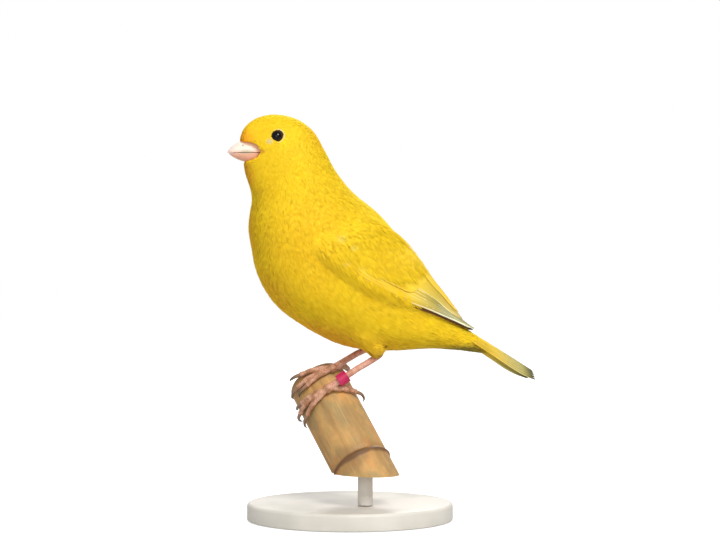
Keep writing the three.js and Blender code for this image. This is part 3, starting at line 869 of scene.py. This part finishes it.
def build_skin():
    skin = trunk_skin()
    bed = bill_bed()
    apply_modifier(skin, "BOOLEAN", operation="DIFFERENCE", object=bed, solver="EXACT")
    bpy.data.objects.remove(bed)
    thighs = [thigh_skin(side, leg) for side, leg in LEGS.items()]
    choose(skin)
    for thigh in thighs:
        thigh.select_set(True)
    bpy.ops.object.join()
    apply_modifier(skin, "REMESH", mode="VOXEL", voxel_size=SKIN_VOXEL * MM, use_smooth_shade=True)
    apply_modifier(skin, "SMOOTH", factor=0.5, iterations=4)
    soften_thighs(skin)
    choose(skin)
    for old in list(skin.data.uv_layers):
        skin.data.uv_layers.remove(old)
    skin.data.uv_layers.new(name="OFBake")
    edit_all(skin, (bpy.ops.uv.smart_project, {"angle_limit": math.radians(66), "island_margin": 0.002}))
    return finished(skin, SKIN, "feathers", "head", "neck", "torso", "thigh_left", "thigh_right")


class SkinField:
    """The skin as arrays: for scattering roots over it and for laying points on it"""

    def __init__(self, skin):
        mesh = skin.data
        mesh.calc_loop_triangles()
        self.corner = read(mesh.loop_triangles, "vertices", 3, np.int32)
        loops = read(mesh.loop_triangles, "loops", 3, np.int32)
        self.points = corners(skin) / MM
        self.normals = read(mesh.vertices, "normal", 3).astype(float)
        self.maps = read(mesh.uv_layers["OFBake"].data, "uv", 2)[loops].astype(float)
        a, b, c = (self.points[self.corner[:, i]] for i in range(3))
        self.areas = np.linalg.norm(np.cross(b - a, c - a), axis=1) / 2
        self.tree = BVHTree.FromPolygons(self.points.tolist(), self.corner.tolist())

    def scatter(self, count):
        """Seeded places spread evenly by area: points, normals and their places on the unwrap"""
        part = np.cumsum(self.areas)
        face = np.searchsorted(part, rng.random(count) * part[-1])
        one, two = rng.random(count), rng.random(count)
        root = np.sqrt(one)
        weights = np.column_stack([1 - root, root * (1 - two), root * two])[:, :, None]
        corner = self.corner[face]
        return ((self.points[corner] * weights).sum(1), unit((self.normals[corner] * weights).sum(1)),
                (self.maps[face] * weights).sum(1))

    def laid(self, points):
        """The nearest points of the skin, and its directions outward there"""
        found = [self.tree.find_nearest(point) for point in points]
        place = np.array([f[0] for f in found])
        corner = self.corner[np.array([f[2] for f in found])]
        weight = 1 / (np.linalg.norm(self.points[corner] - place[:, None], axis=2) + 0.05)
        return place, unit((self.normals[corner] * weight[:, :, None]).sum(1))


def thinned(points, spacing):
    """Which of the points stay when none may be nearer to another than its spacing"""
    tree = tree_of(points)
    kept, gone = [], np.zeros(len(points), bool)
    for i in range(len(points)):
        if not gone[i]:
            kept.append(i)
            for _, j, _ in tree.find_range(points[i], spacing[i]):
                gone[j] = True
    return np.array(kept)


def feather_length(station, angle):
    """A body feather's length by place, shortest on the face"""
    stations = [0, 1, 2, 3, 4, 5, 6, 8, 10, 12, 14, 16, 18]
    back = np.interp(station, stations, [1.1, 1.2, 1.5, 1.8, 2.1, 2.4, 2.7, 3.4, 4.2, 4.8, 5.2, 5.8, 6.6])
    front = np.interp(station, stations, [1.0, 1.1, 1.4, 1.7, 2.0, 2.3, 2.6, 3.4, 4.3, 5.0, 5.8, 6.8, 7.6])
    low = 0.5 - 0.5 * np.cos(np.radians(angle))
    return back * (1 - low) + front * low


def thigh_pull(points, station, angle):
    """How far points stand out on a thigh, 0..1, and the direction down it"""
    pull, down = np.zeros(len(points)), np.zeros((len(points), 3))
    for leg in LEGS.values():
        near, _, line = off_leg(points, leg, 1.2)
        below = np.linalg.norm(points - on_trunk(station, angle), axis=1)
        own = (1 - smooth(5.5, 8.0, near)) * smooth(1.2, 3.2, below)
        stronger = own > pull
        pull[stronger] = own[stronger]
        down[stronger] = unit(line)
    return pull, down


def in_bill_bed(points, room):
    """Which points lie in the bill's hollow of the face, or within the room round it"""
    half, height = bed_sizes(points[:, 0])
    rise = points[:, 2] - BILL_MOUTH - BED_RISE
    inside = (points[:, 1] / (half + room)) ** 2 + (rise / (height + room)) ** 2
    return (inside < 1) & (points[:, 0] < BED_BACK + room)


def off_eye(points):
    """How far points lie from the nearer eye's axis"""
    mirrored = np.column_stack([points[:, 0], np.abs(points[:, 1]), points[:, 2]]) - EYE
    return np.linalg.norm(mirrored - (mirrored @ EYE_AXIS)[:, None] * EYE_AXIS, axis=1)


# Roots tried over the skin, the room between them in feather lengths, the last station with any
ROOTS_TRIED, ROOT_ROOM, LAST_ROOT = 150000, 0.23, 17.75
# A thigh's feather length, the bare ring round an eye, and how far aside and across the wing covers
THIGH_FEATHER, BARE_EYE, COVER_ASIDE, COVER_LOW, COVER_HIGH = 3.0, 2.5, 2.6, 0.04, 0.93


def coat_roots(skin):
    """The body feathers' roots with everything that shapes them"""
    points, normals, maps = skin.scatter(ROOTS_TRIED)
    places, _ = TRUNK_PLACES.near(points)
    station, angle = places[:, 0], places[:, 1]
    length = feather_length(station, angle)
    pull, down = thigh_pull(points, station, angle)
    length = length * (1 - pull) + THIGH_FEATHER * pull
    along, across, aside = wing_place(points)
    soft_to = np.interp(across, [0.1, 0.3, 0.9, 1.0], [0.25, 0.44, 0.44, 0.3])
    covered = (aside < COVER_ASIDE) & (along > soft_to) & (across < COVER_HIGH) & (across > COVER_LOW)
    bare = in_bill_bed(points, 0.15) | (off_eye(points) < BARE_EYE) & (np.abs(points[:, 1]) > 5)
    free = ~(covered | bare) & (station < LAST_ROOT)
    kept = np.flatnonzero(free)
    kept = kept[thinned(points[kept], (ROOT_ROOM * length)[kept])]
    station, angle = station[kept], angle[kept]
    step = 0.05
    flow = (on_trunk(np.minimum(station + step, LAST), angle)
            - on_trunk(np.maximum(station - step, 0), angle))
    flow = unit(unit(flow) * (1 - pull[kept])[:, None] + down[kept] * pull[kept][:, None])
    return dict(point=points[kept], normal=normals[kept], map=maps[kept], station=station,
                length=length[kept], flow=flow)


# A blade of a body feather: a thin closed wedge of seven corners and ten triangles
BLADE_FACES = np.array([
    [0, 1, 2], [1, 4, 5], [1, 5, 2], [3, 0, 2], [3, 2, 5],
    [1, 0, 3], [1, 3, 4], [4, 6, 5], [6, 3, 5], [4, 3, 6]])
# Its corners' sides, their places along the tuft's patch of the unwrap, and their shade
BLADE_SIDE = np.array([-1, 1, 0, -1, 1, 0, 0])
BLADE_ALONG = np.array([-0.5, -0.5, -0.46, 0, 0, 0.02, 0.5])
BLADE_FADE = np.array([-0.15, -0.15, -0.15, 0, 0, 0, 0.15])
BLADES, BLADE_LEAN, PATCH = 9, 0.18, 0.003


def coat_feathers(skin, roots):
    """Every body feather as a tuft of blades: corners, normals, tones and places on the unwrap"""
    point, normal, station = roots["point"], roots["normal"], roots["station"]
    length, flow = roots["length"], roots["flow"]
    count = len(point)
    # Each feather leans a little aside, and follows the skin in two steps, to its middle and its tip
    flow = flow - normal * np.sum(flow * normal, 1, keepdims=True)
    side = np.cross(unit(flow), normal)
    sway = rng.normal(0, 0.07, count) + 0.08 * np.sin(point[:, 0] * 0.5 + point[:, 2] * 0.37)
    flow = unit(unit(flow) + side * sway[:, None])
    length = length * rng.uniform(0.88, 1.1, count)
    half = length[:, None] / 2
    free_end = smooth(16.4, 17.6, station)[:, None]

    def follow(start, direction, outward):
        aim = start + direction * half
        laid, up = skin.laid(aim)
        return laid * (1 - free_end) + aim * free_end, unit(up * (1 - free_end) + outward * free_end)

    mid, mid_normal = follow(point, flow, normal)
    ahead = mid - point
    ahead = unit(ahead - mid_normal * np.sum(ahead * mid_normal, 1, keepdims=True))
    tip, tip_normal = follow(mid, ahead, mid_normal)

    # Feathers near the folded wing's front lie over it
    along, _, aside = wing_place(tip)
    over_wing = 1 - smooth(1.0, 6.0, aside)
    over_wing *= smooth(0.0, 0.22, along) * (1 - smooth(0.5, 0.66, along))
    depth = coat_depth(station)
    lift = depth * rng.uniform(0.9, 1.0, count) + 1.1 * over_wing
    lift_mid = depth * 0.6 + 0.9 * over_wing
    roundness = np.interp(station, [0, 3, 6, 10, 18], [6, 9, 12, 20, 8])
    spread = 0.34 * length ** 0.9
    fine = np.interp(length, [1.0, 2.2, 5.0, 8.0], [0.16, 0.2, 0.3, 0.36])
    tone = np.clip(rng.normal(0.5, 0.07, count), 0, 1)

    # The blades fan out, longest in the middle, and round off towards the tuft's sides
    each = (count, BLADES)
    fan = np.linspace(-1, 1, BLADES)[None] + rng.normal(0, 0.09, each)
    reach = 1 - 0.28 * fan ** 2 + rng.normal(0, 0.04, each)

    def spots(centre, outward, tangent, offset, height):
        across_ = np.cross(tangent, outward)
        drop = offset ** 2 / (2 * roundness[:, None])
        return (centre[:, None] + across_[:, None] * offset[:, :, None]
                + outward[:, None] * (height - drop)[:, :, None])

    leave = unit(mid - point)
    arrive = unit(tip - mid)
    start = spots(point, normal, leave, fan * spread[:, None] * 0.3, np.full(each, -0.1))
    middle = spots(mid, mid_normal, leave, fan * spread[:, None] * 0.8,
                   lift_mid[:, None] + rng.normal(0, 0.015, each))
    middle = start + (middle - start) * np.minimum(reach * 1.05, 1.05)[:, :, None]
    end = spots(tip, tip_normal, arrive, fan * spread[:, None],
                lift[:, None] + rng.normal(0, 0.025, each))
    end = middle + (end - middle) * (2 * reach - 1)[:, :, None]

    # Three corners at a blade's root, three at its middle and one at its tip
    wide_side = np.cross(leave, mid_normal)[:, None] * np.ones((1, BLADES, 1))
    up = mid_normal[:, None] * np.ones((1, BLADES, 1))
    wide = fine[:, None, None] / 2
    thick = (fine * 0.28)[:, None, None]
    corner = np.stack([
        start - wide_side * wide * 0.7, start + wide_side * wide * 0.7, start + up * thick,
        middle - wide_side * wide, middle + wide_side * wide, middle + up * thick, end], axis=2)
    shade = up[:, :, None] + wide_side[:, :, None] * (BLADE_LEAN * BLADE_SIDE)[:, None]
    tones = tone[:, None] + rng.normal(0, 0.05, each)
    tones = np.clip(tones[:, :, None] + BLADE_FADE, 0, 1)
    local = np.stack([fan[:, :, None] * 0.45 + 0.03 * BLADE_SIDE,
                      np.broadcast_to(BLADE_ALONG, each + BLADE_ALONG.shape)], axis=3)
    maps = np.clip(roots["map"][:, None, None] + local * PATCH, 0.0005, 0.9995)
    return corner, unit(shade), tones, maps


def coat_piece(name, corner, shade, tones, maps):
    """One mesh of many blades, shaded by the skin under them"""
    count = corner.shape[0] * corner.shape[1]
    faces = (BLADE_FACES[None] + len(BLADE_SIDE) * np.arange(count)[:, None, None]).reshape(-1, 3)
    piece = mesh_piece(name, corner.reshape(-1, 3), faces)
    corner_uv(piece, "OFBake", maps.reshape(-1, 2))
    corner_value(piece, "Tone", tones)
    piece.data.normals_split_custom_set_from_vertices(shade.reshape(-1, 3).astype(np.float32))
    finished(piece, COAT, "feathers")


# The coat's pieces: name, first and last trunk station
COAT_BANDS = [
    ("face", 0, 2.6), ("head", 2.6, 5.6), ("neck", 5.6, 8.6), ("breast", 8.6, 12.2), ("belly", 12.2, 15.2),
    ("vent", 15.2, 19)]


def build_coat(skin_piece):
    field = SkinField(skin_piece)
    roots = coat_roots(field)
    arrays = coat_feathers(field, roots)
    station, left = roots["station"], roots["point"][:, 1] < 0
    for label, low, high in COAT_BANDS:
        for side, own in (("left", left), ("right", ~left)):
            chosen = (station >= low) & (station < high) & own
            coat_piece(f"coat_{label}_{side}", *(part[chosen] for part in arrays))


# ---- wings and tail


def vane_outline(along, tip_from, point):
    """A vane's width along it, from 0 to 1; a higher point makes its end more pointed"""
    grown = 0.5 + 0.5 * np.clip(along / 0.35, 0, 1)
    end = np.clip((along - tip_from) / (1 - tip_from), 0, 1)
    return grown * np.clip(1 - end ** 2.4, 0, 1) ** point


class VaneSet:
    """Gathers closed thin vanes, one mesh for all"""

    def __init__(self):
        self.points, self.faces, self.maps, self.count = [], [], [], 0
        self.values = {"Tone": [], "Flight": [], "Rank": []}

    def add(self, place, width, flight, rank, lean, rows=20, tip_from=0.72, point=0.5):
        """place(along, aside, height) gives points in mm; lean moves the shaft to the outer edge"""
        columns, thick = 10, 0.12
        u, v = np.meshgrid(
            np.linspace(0, 1, rows + 1) ** 0.85, np.linspace(-1, 1, columns + 1), indexing="ij")
        notch = 1 + 0.05 * np.sin(rng.uniform(0, 6) + 23 * u) * rng.random() - 0.06 * (
            rng.random(u.shape) > 0.93) * (np.abs(v) > 0.9)
        aside = width * vane_outline(u, tip_from, point) * (notch * v + lean * (1 - v * v))
        shaft = 0.1 * np.exp(-(v / 0.12) ** 2) * (1 - u)
        body = thick / 2 * (1 - v ** 4) * (1 - u ** 10) * np.clip(u * 12, 0, 1)
        camber = -0.12 * width * v * v
        top = place(u, aside, camber + shaft + body).reshape(-1, 3)
        below = place(u, aside, camber - body)
        inner = below[1:-1, 1:-1].reshape(-1, 3)
        upper = np.arange(u.size).reshape(u.shape)
        lower = upper.copy()
        lower[1:-1, 1:-1] = u.size + np.arange(len(inner)).reshape(rows - 1, columns - 1)

        def quads(index):
            around = [index[:-1, :-1], index[1:, :-1], index[1:, 1:], index[:-1, 1:]]
            return np.stack(around, -1).reshape(-1, 4)
        self.faces.append(np.vstack([quads(upper), quads(lower)[:, ::-1]]) + self.count)
        self.points += [top, inner]
        map_ = np.column_stack([u.ravel(), v.ravel()])
        map_ = np.vstack([map_, map_.reshape(*u.shape, 2)[1:-1, 1:-1].reshape(-1, 2)])
        self.maps.append(map_)
        for name, value in (("Tone", rng.uniform(0.2, 0.8)), ("Flight", flight), ("Rank", rank)):
            self.values[name].append(np.full(len(map_), value))
        self.count += len(map_)

    def piece(self, name, material, slot, node, mirror=False):
        points = np.vstack(self.points) * ([1, -1, 1] if mirror else [1, 1, 1])
        piece = mesh_piece(name, points, np.vstack(self.faces))
        corner_uv(piece, "Vane", np.vstack(self.maps))
        for value, parts in self.values.items():
            corner_value(piece, value, np.concatenate(parts))
        edit_all(piece, FACE_OUTWARD)
        finished(piece, material, slot, node)


# A wing's tiers: vanes, where they lie across the wing, root and tips along it, half width, height,
# flight look (0 yellow, 1 flight feather, 2 dark brown standing for the shadow under the wing's edge), lean
# and droop
WING_TIERS = [
    # Two dark vanes just below the lower edge: a painted shadow under the wing
    (2, (-0.045, -0.025), 0.4, (0.99, 0.96), 2.3, 1.2, 2.0, 0.2, 0.0),
    (6, (0.03, 0.42), 0.36, (1.0, 0.8), 2.1, 1.9, 1.0, 0.25, 0.0),
    (6, (0.46, 0.8), 0.36, (0.79, 0.75), 2.3, 1.95, 0.55, 0.2, 0.0),
    (4, (0.82, 0.97), 0.34, (0.74, 0.6), 2.4, 2.25, 0.1, 0.0, 0.0),
    (4, (0.02, 0.14), 0.22, (0.56, 0.5), 1.2, 2.0, 0.1, 0.2, 0.3),
    (6, (0.05, 0.3), 0.2, (0.46, 0.48), 1.4, 2.2, 0.1, 0.1, 0.3),
    (11, (0.2, 0.93), 0.22, (0.53, 0.5), 1.9, 2.3, 0.06, 0.0, 0.4),
]


def build_wings():
    wing = VaneSet()
    for count, span_across, root, tips, half, rise, flight, lean, droop in WING_TIERS:
        for i in range(count):
            rank = i / (count - 1)
            middle = np.interp(rank, [0, 1], span_across)
            tip = np.interp(rank ** 1.2, [0, 1], tips) + rng.normal(0, 0.006)
            width = half * (1 + rng.normal(0, 0.03))

            def place(along, aside, height):
                lift = np.minimum(0, along / 0.4 - 1) * WING_SINK + WING_STACK * middle
                lift -= droop * along ** 3
                part = root + (tip - root) * along
                height = rise + lift + WING_TILT * aside / width + height
                return on_wing(part, middle + 0 * along, aside, height)
            wing.add(place, width, flight, rank, lean)
    wing.piece("wing_feathers_left", WING_VANE, "wing_feathers", "wing_left")
    wing.piece("wing_feathers_right", WING_VANE, "wing_feathers", "wing_right", mirror=True)


def build_tail():
    line = TAIL_TIP - TAIL_ROOT
    length = np.linalg.norm(line)
    ahead = line / length
    over = np.cross(ahead, [0, 1, 0])
    over = over * np.sign(over[2])
    tail = VaneSet()
    for pair in range(TAIL_PAIRS):
        rank = pair / (TAIL_PAIRS - 1)
        for side in (-1, 1):
            def place(along, aside, height):
                spread = TAIL_ROOT_SPREAD + (TAIL_TIP_SPREAD - TAIL_ROOT_SPREAD) * along
                out = side * (0.3 + spread * rank) + side * aside
                far = length * along * (1 + TAIL_FORK * (rank - 1) / length)
                up = height - TAIL_STEP * pair - TAIL_ARCH * out ** 2
                return (TAIL_ROOT + ahead * far[..., None] + over * up[..., None]
                        + np.array([0, 1, 0]) * out[..., None])
            tail.add(place, TAIL_HALF_WIDTH * 0.95, 1.0, rank, 0.2, rows=28, tip_from=0.74, point=0.9)
    tail.piece("tail_feathers", TAIL_VANE, "tail_feathers", "tail")


# ---- bill, eyes and lids


def bill_sizes(along):
    """The bill's height above and below the mouth, and half its width, from its base to its tip"""
    above = BILL_ABOVE * (1 - along ** 3) ** 0.8 + 0.12
    below = BILL_BELOW * (1 - along ** 2.4) ** 0.85 + 0.12
    half = BILL_HALF_WIDTH * (1 - along ** 2.2) ** 0.75 + 0.12
    return above, below, half


# The shares of the bill's section that its arched outside and its face along the mouth take up
ARCH_PART, MOUTH_PART = 0.7, 0.3


def bill_half(name, sign, node):
    """One half of the bill: an arched outside, and a hollowed face along the mouth"""
    steps = 70

    def place(around, along):
        part, reach = ends(along, steps)
        above, below, half = bill_sizes(part)
        high = above if sign > 0 else below
        arch = np.clip(around / ARCH_PART, 0, 1)
        turn = np.pi * (arch - 0.5)
        inside = np.clip((around - ARCH_PART) / MOUTH_PART, 0, 1)
        ridge = 1.16 if sign > 0 else 1.0
        outer = around <= ARCH_PART
        y = np.where(outer, half * np.sin(turn), half * (1 - 2 * inside))
        z = np.where(outer, high * np.maximum(np.cos(turn), 0) ** ridge,
                     0.5 * half * (1 - (1 - 2 * inside) ** 2) * (1 - part))
        x = BILL_BASE + (BILL_TIP - sign * BILL_OVERBITE - BILL_BASE) * part
        point = np.column_stack([x, y * reach, BILL_MOUTH + sign * (0.1 + z * reach)])
        if sign > 0:
            for side in (-1, 1):
                near = np.linalg.norm(point - NOSTRIL * [1, side, 1], axis=1)
                point[:, 1] -= side * 0.35 * np.exp(-(near / 0.55) ** 2)
        return point
    finished(loft(name, 90, steps, place, 180), BILL, "bill", node)


def eye_frame(side):
    """The eye's middle, its outward axis and two directions across it"""
    axis = EYE_AXIS * [1, side, 1]
    first = unit(np.cross([0, 0, 1], axis))
    return EYE * [1, side, 1], axis, first, np.cross(axis, first)


def build_eye(name, side):
    centre, axis, first, second = eye_frame(side)

    def place(around, along):
        polar, turn = np.pi * along, 2 * np.pi * around
        radius = EYE_RADIUS * (1 + 0.03 * np.exp(-(polar / 0.5) ** 2))
        return centre + radius[:, None] * towards(axis, towards(first, second, turn), polar)
    finished(loft("eyeball_" + name, 56, 40, place, 180), EYE_DARK, "eye", "eye_" + name)


def build_lid(name, side):
    centre, axis, first, second = eye_frame(side)
    front = np.array([-1.0, 0, -0.15])
    front = unit(front - axis * (front @ axis))

    def place(around, along):
        turn, curl = 2 * np.pi * around, 2 * np.pi * along
        out = towards(first, second, turn)
        corner = np.clip(out @ front, 0, 1) ** 6 + 0.6 * np.clip(-out @ front, 0, 1) ** 8
        ring = LID_RING + 0.28 * corner
        wrinkles = 0.03 * np.sin(26 * turn) + 0.02 * np.sin(61 * turn + 2)
        thick = 0.2 + 0.08 * corner + wrinkles * 0.5
        middle = centre + axis * (LID_DEPTH - 0.05) + out * ring[:, None]
        return middle + towards(out, axis * LID_FLATNESS, curl) * thick[:, None]
    finished(loft("lid_" + name, 120, 14, place, 180), LID, "eye")


# ---- legs and feet


def scuted(radius, count):
    """A tube's radius with a row of overlapping scutes along its upper side"""
    def size(part, turn):
        step = (part * count) % 1
        front = np.clip(np.cos(turn), 0, 1) ** 0.5
        return radius(part) * (1 + front * 0.085 * (step - 0.5) + 0.015 * np.sin(3 * turn + 40 * part))
    return size


def claw_radius(part, turn):
    return 0.1 + 0.62 * (1 - part ** 1.3) - 0.08 * np.cos(turn) * (1 - part)


def build_leg(name, leg):
    foot = on_cane(np.array([leg["along"]]), np.array([leg["around"]]), np.array([GAP + 1.7]))[0]
    hip, heel = np.array(leg["hip"], float), np.array(leg["heel"], float)
    heel = heel + unit(heel - hip) * GAP
    shank = Curve([heel - unit(heel - hip) * 1.2, heel, (heel + foot) / 2, foot])

    def shank_radius(part):
        return 1.1 + 0.5 * np.exp(-7 * part) + 0.25 * np.exp(-9 * (1 - part))
    tarsus = tube(shank.at, scuted(shank_radius, 11), [0, 1, 0], 36, 130, "shank_" + name)
    finished(tarsus, LEG, "leg_skin", "tarsus_" + name)

    parts = []
    for toe_name, toe in TOES.items():
        radius = toe["radius"]
        line = Curve([foot] + [on_toe(leg, toe, along, radius * lift) for along, lift in (
            (0.25, 1.1), (0.5, 1.0), (0.75, 1.0), (1.0, 0.9))])

        def toe_radius(part, radius=radius):
            return radius * (1 - 0.2 * part) * (1 + 0.1 * np.cos(6 * np.pi * part))
        part_name = f"toe_{name}_{toe_name}"
        parts.append(tube(line.at, scuted(toe_radius, 12), CANE_AXIS, 28, 90, part_name))

        reach = abs(toe["length"])
        claw = Curve([on_toe(leg, toe, 1 + d / reach, radius * lift) for d, lift in (
            (-0.4, 0.95), (toe["claw"] * 0.4, 1.35), (toe["claw"] * 0.8, 1.1), (toe["claw"], 0.45))])
        piece = tube(claw.at, claw_radius, CANE_AXIS, 24, 48, f"nail_{name}_{toe_name}")
        finished(piece, CLAW, "claw", f"claw_{name}_{toe_name}")

    def pad(around, along):
        polar, turn = np.pi * along, 2 * np.pi * around
        return foot + towards(CANE_AXIS, towards(CANE_UP, CANE_SIDE, turn), polar) * 1.6
    parts.append(loft("pad_" + name, 28, 20, pad, 180))
    choose(parts[0])
    for part in parts:
        part.select_set(True)
    bpy.ops.object.join()
    whole = bpy.context.object
    whole.name = whole.data.name = "toes_" + name
    apply_modifier(whole, "REMESH", mode="VOXEL", voxel_size=TOE_VOXEL * MM, use_smooth_shade=True)
    apply_modifier(whole, "SMOOTH", factor=0.5, iterations=2)
    finished(whole, FOOT, "leg_skin", "foot_" + name)
    return foot, unit(heel - foot)


def build_ring(foot, shank):
    first = unit(np.cross(shank, [0, 1, 0]))
    second = np.cross(shank, first)
    middle = foot + shank * RING_FROM_FOOT
    half_length, half_wall = RING_LENGTH / 2, (RING_OUTER - RING_INNER) / 2

    def place(around, along):
        turn, curl = 2 * np.pi * around, 2 * np.pi * along
        flat = np.abs(np.cos(curl)) ** 0.25 * np.sign(np.cos(curl))
        tall = np.abs(np.sin(curl)) ** 0.25 * np.sign(np.sin(curl))
        out = towards(first, second, turn)
        radius = (RING_INNER + RING_OUTER) / 2 + half_wall * flat
        return middle + out * radius[:, None] + shank * (half_length * tall)[:, None]
    finished(loft("ring_band", 72, 40, place, 30), RING, "ring_plastic", "leg_ring")


# ---- cane and display


def build_cane():
    steps = 170

    def place(around, along):
        part, reach = ends(along, steps, 14)
        angle = 360 * around
        turn = np.radians(angle)
        out_z = towards(CANE_UP, CANE_SIDE, turn)[:, 2]
        low = (CANE_FOOT - CANE_UNDER[2] - CANE_RADIUS * out_z * reach) / CANE_AXIS[2]
        length = low + (CANE_TOP - low) * part
        off = length - CANE_KNOT
        ring = 0.55 * np.exp(-(off / 0.8) ** 2) - 0.35 * np.exp(-((off - 1.5) / 0.7) ** 2)
        uneven = 0.1 * np.sin(3 * turn + 0.06 * length) + 0.07 * np.sin(5 * turn + 1.0)
        rim = -0.4 * smooth(CANE_TOP - 0.5, CANE_TOP, length) * (part > 0.5)
        hollow = np.where(part > 0.5, -0.9 * smooth(1.0, 0.45, reach), 0.0)
        radius = (CANE_RADIUS + ring + uneven + rim) * reach
        return on_cane(length + hollow, angle, radius - CANE_RADIUS)
    finished(loft("cane", 120, steps, place, 35), CANE, "cane", "perch")


def turned(name, profile, centre, sides, node):
    """A stand part turned about the vertical through centre, from rows of (radius, height)"""
    rows = np.array(profile, float)
    steps = len(rows) - 1

    def place(around, along):
        row = along * steps
        radius = np.interp(row, np.arange(len(rows)), rows[:, 0])
        height = np.interp(row, np.arange(len(rows)), rows[:, 1])
        turn = 2 * np.pi * around
        return np.column_stack([
            centre[0] + radius * np.cos(turn), centre[1] + radius * np.sin(turn), height])
    finished(loft(name, sides, steps, place, 30), STAND, "stand_paint", node)


def rounded(radius, low, high, edge):
    """A disc's profile with rounded edges"""
    turns, foot = np.radians(np.linspace(0, 90, 7)), edge * 0.4
    lower = [(radius - foot + foot * math.sin(t), low + foot * (1 - math.cos(t))) for t in turns]
    upper = [(radius - edge + edge * math.cos(t), high - edge + edge * math.sin(t)) for t in turns]
    return [(0, low), (radius * 0.6, low)] + lower + upper + [(radius * 0.5, high), (0, high)]


def build_stand():
    drop = (CANE_FOOT - CANE_UNDER[2]) / CANE_AXIS[2]
    top = CANE_UNDER + CANE_AXIS * drop
    turned("stand_disc", rounded(BASE_RADIUS, 0, BASE_HEIGHT, 1.2), (0, 0), 128, "stand_base")
    low, high = BASE_HEIGHT + GAP, CANE_FOOT - GAP
    turned("stand_pin", rounded(ROD_RADIUS, low, high, 0.25), top[:2], 48, "stand_rod")


# ---- camera, lights

# The camera's turn in degrees, and its place in metres: to the right, up and away from the stand
CAMERA_TURN, CAMERA_RIGHT, CAMERA_UP, CAMERA_AWAY = -12, 0.0035, 0.08715, 0.7
# The sky's strength for every ray but the camera's own
SKY_LIGHT = 0.52
LIGHTS_AIM = (0, 0, 0.09)
# Round soft lights: name, place and size in metres, power in watts, colour
LIGHTS = [
    ("Key", (0.16, -0.98, 0.92), 0.5, 12.6, (1.0, 0.98, 0.95)),
    ("Fill", (-0.45, -1.05, 0.3), 0.7, 2.6, (1.0, 0.98, 0.95)),
    ("Back", (0.3, 0.9, 0.8), 0.6, 7.0, (1, 1, 1)),
]


def build_camera():
    azimuth = math.radians(CAMERA_TURN)
    back = Vector((math.sin(azimuth), -math.cos(azimuth), 0))
    right = Vector((math.cos(azimuth), math.sin(azimuth), 0))
    camera = bpy.data.objects.new("Camera", bpy.data.cameras.new("Camera"))
    camera.data.lens, camera.data.sensor_width = 100, 36
    camera.data.clip_start, camera.data.clip_end = 0.05, 20
    camera.location = right * CAMERA_RIGHT + Vector((0, 0, CAMERA_UP)) + back * CAMERA_AWAY
    camera.rotation_euler = Euler((math.radians(90), 0, azimuth))
    bpy.context.scene.collection.objects.link(camera)
    bpy.context.scene.camera = camera


def soft_light(name, place, size, power, colour):
    light = bpy.data.objects.new(name, bpy.data.lights.new(name, "AREA"))
    light.data.shape, light.data.size = "DISK", size
    light.data.energy, light.data.color = power, colour
    light.location = place
    light.rotation_euler = (Vector(LIGHTS_AIM) - Vector(place)).to_track_quat("-Z", "Y").to_euler()
    bpy.context.scene.collection.objects.link(light)


def build_studio():
    deselect()
    # A hair under the stand, so that the two don't share a plane
    bpy.ops.mesh.primitive_circle_add(vertices=96, radius=3.0, fill_type="NGON", location=(0, 0, -0.0002))
    floor = bpy.context.object
    floor.name = floor.data.name = "floor"
    floor.data.transform(floor.matrix_world)
    floor.matrix_world = Matrix.Identity(4)
    floor.data.materials.append(FLOOR)
    world = bpy.data.worlds.new("Studio")
    world.use_nodes = True
    tree = world.node_tree
    sky = tree.nodes["Background"].inputs
    sky["Color"].default_value = (1, 1, 1, 1)
    tree.links.new(span(tree, camera_ray(tree), 0.0, 1.0, SKY_LIGHT, 1.0), sky["Strength"])
    bpy.context.scene.world = world
    for light in LIGHTS:
        soft_light(*light)
    bpy.context.scene.view_settings.view_transform = "Standard"


build_camera()
skin_piece = build_skin()
build_coat(skin_piece)
build_wings()
build_tail()
bill_half("mandible_upper", 1, "bill_upper")
bill_half("mandible_lower", -1, "bill_lower")
for side_name, side_sign in (("left", -1), ("right", 1)):
    build_eye(side_name, side_sign)
    build_lid(side_name, side_sign)
foot_left, shank_left = build_leg("left", LEGS["left"])
build_leg("right", LEGS["right"])
build_ring(foot_left, shank_left)
build_cane()
build_stand()
build_studio()
deselect()
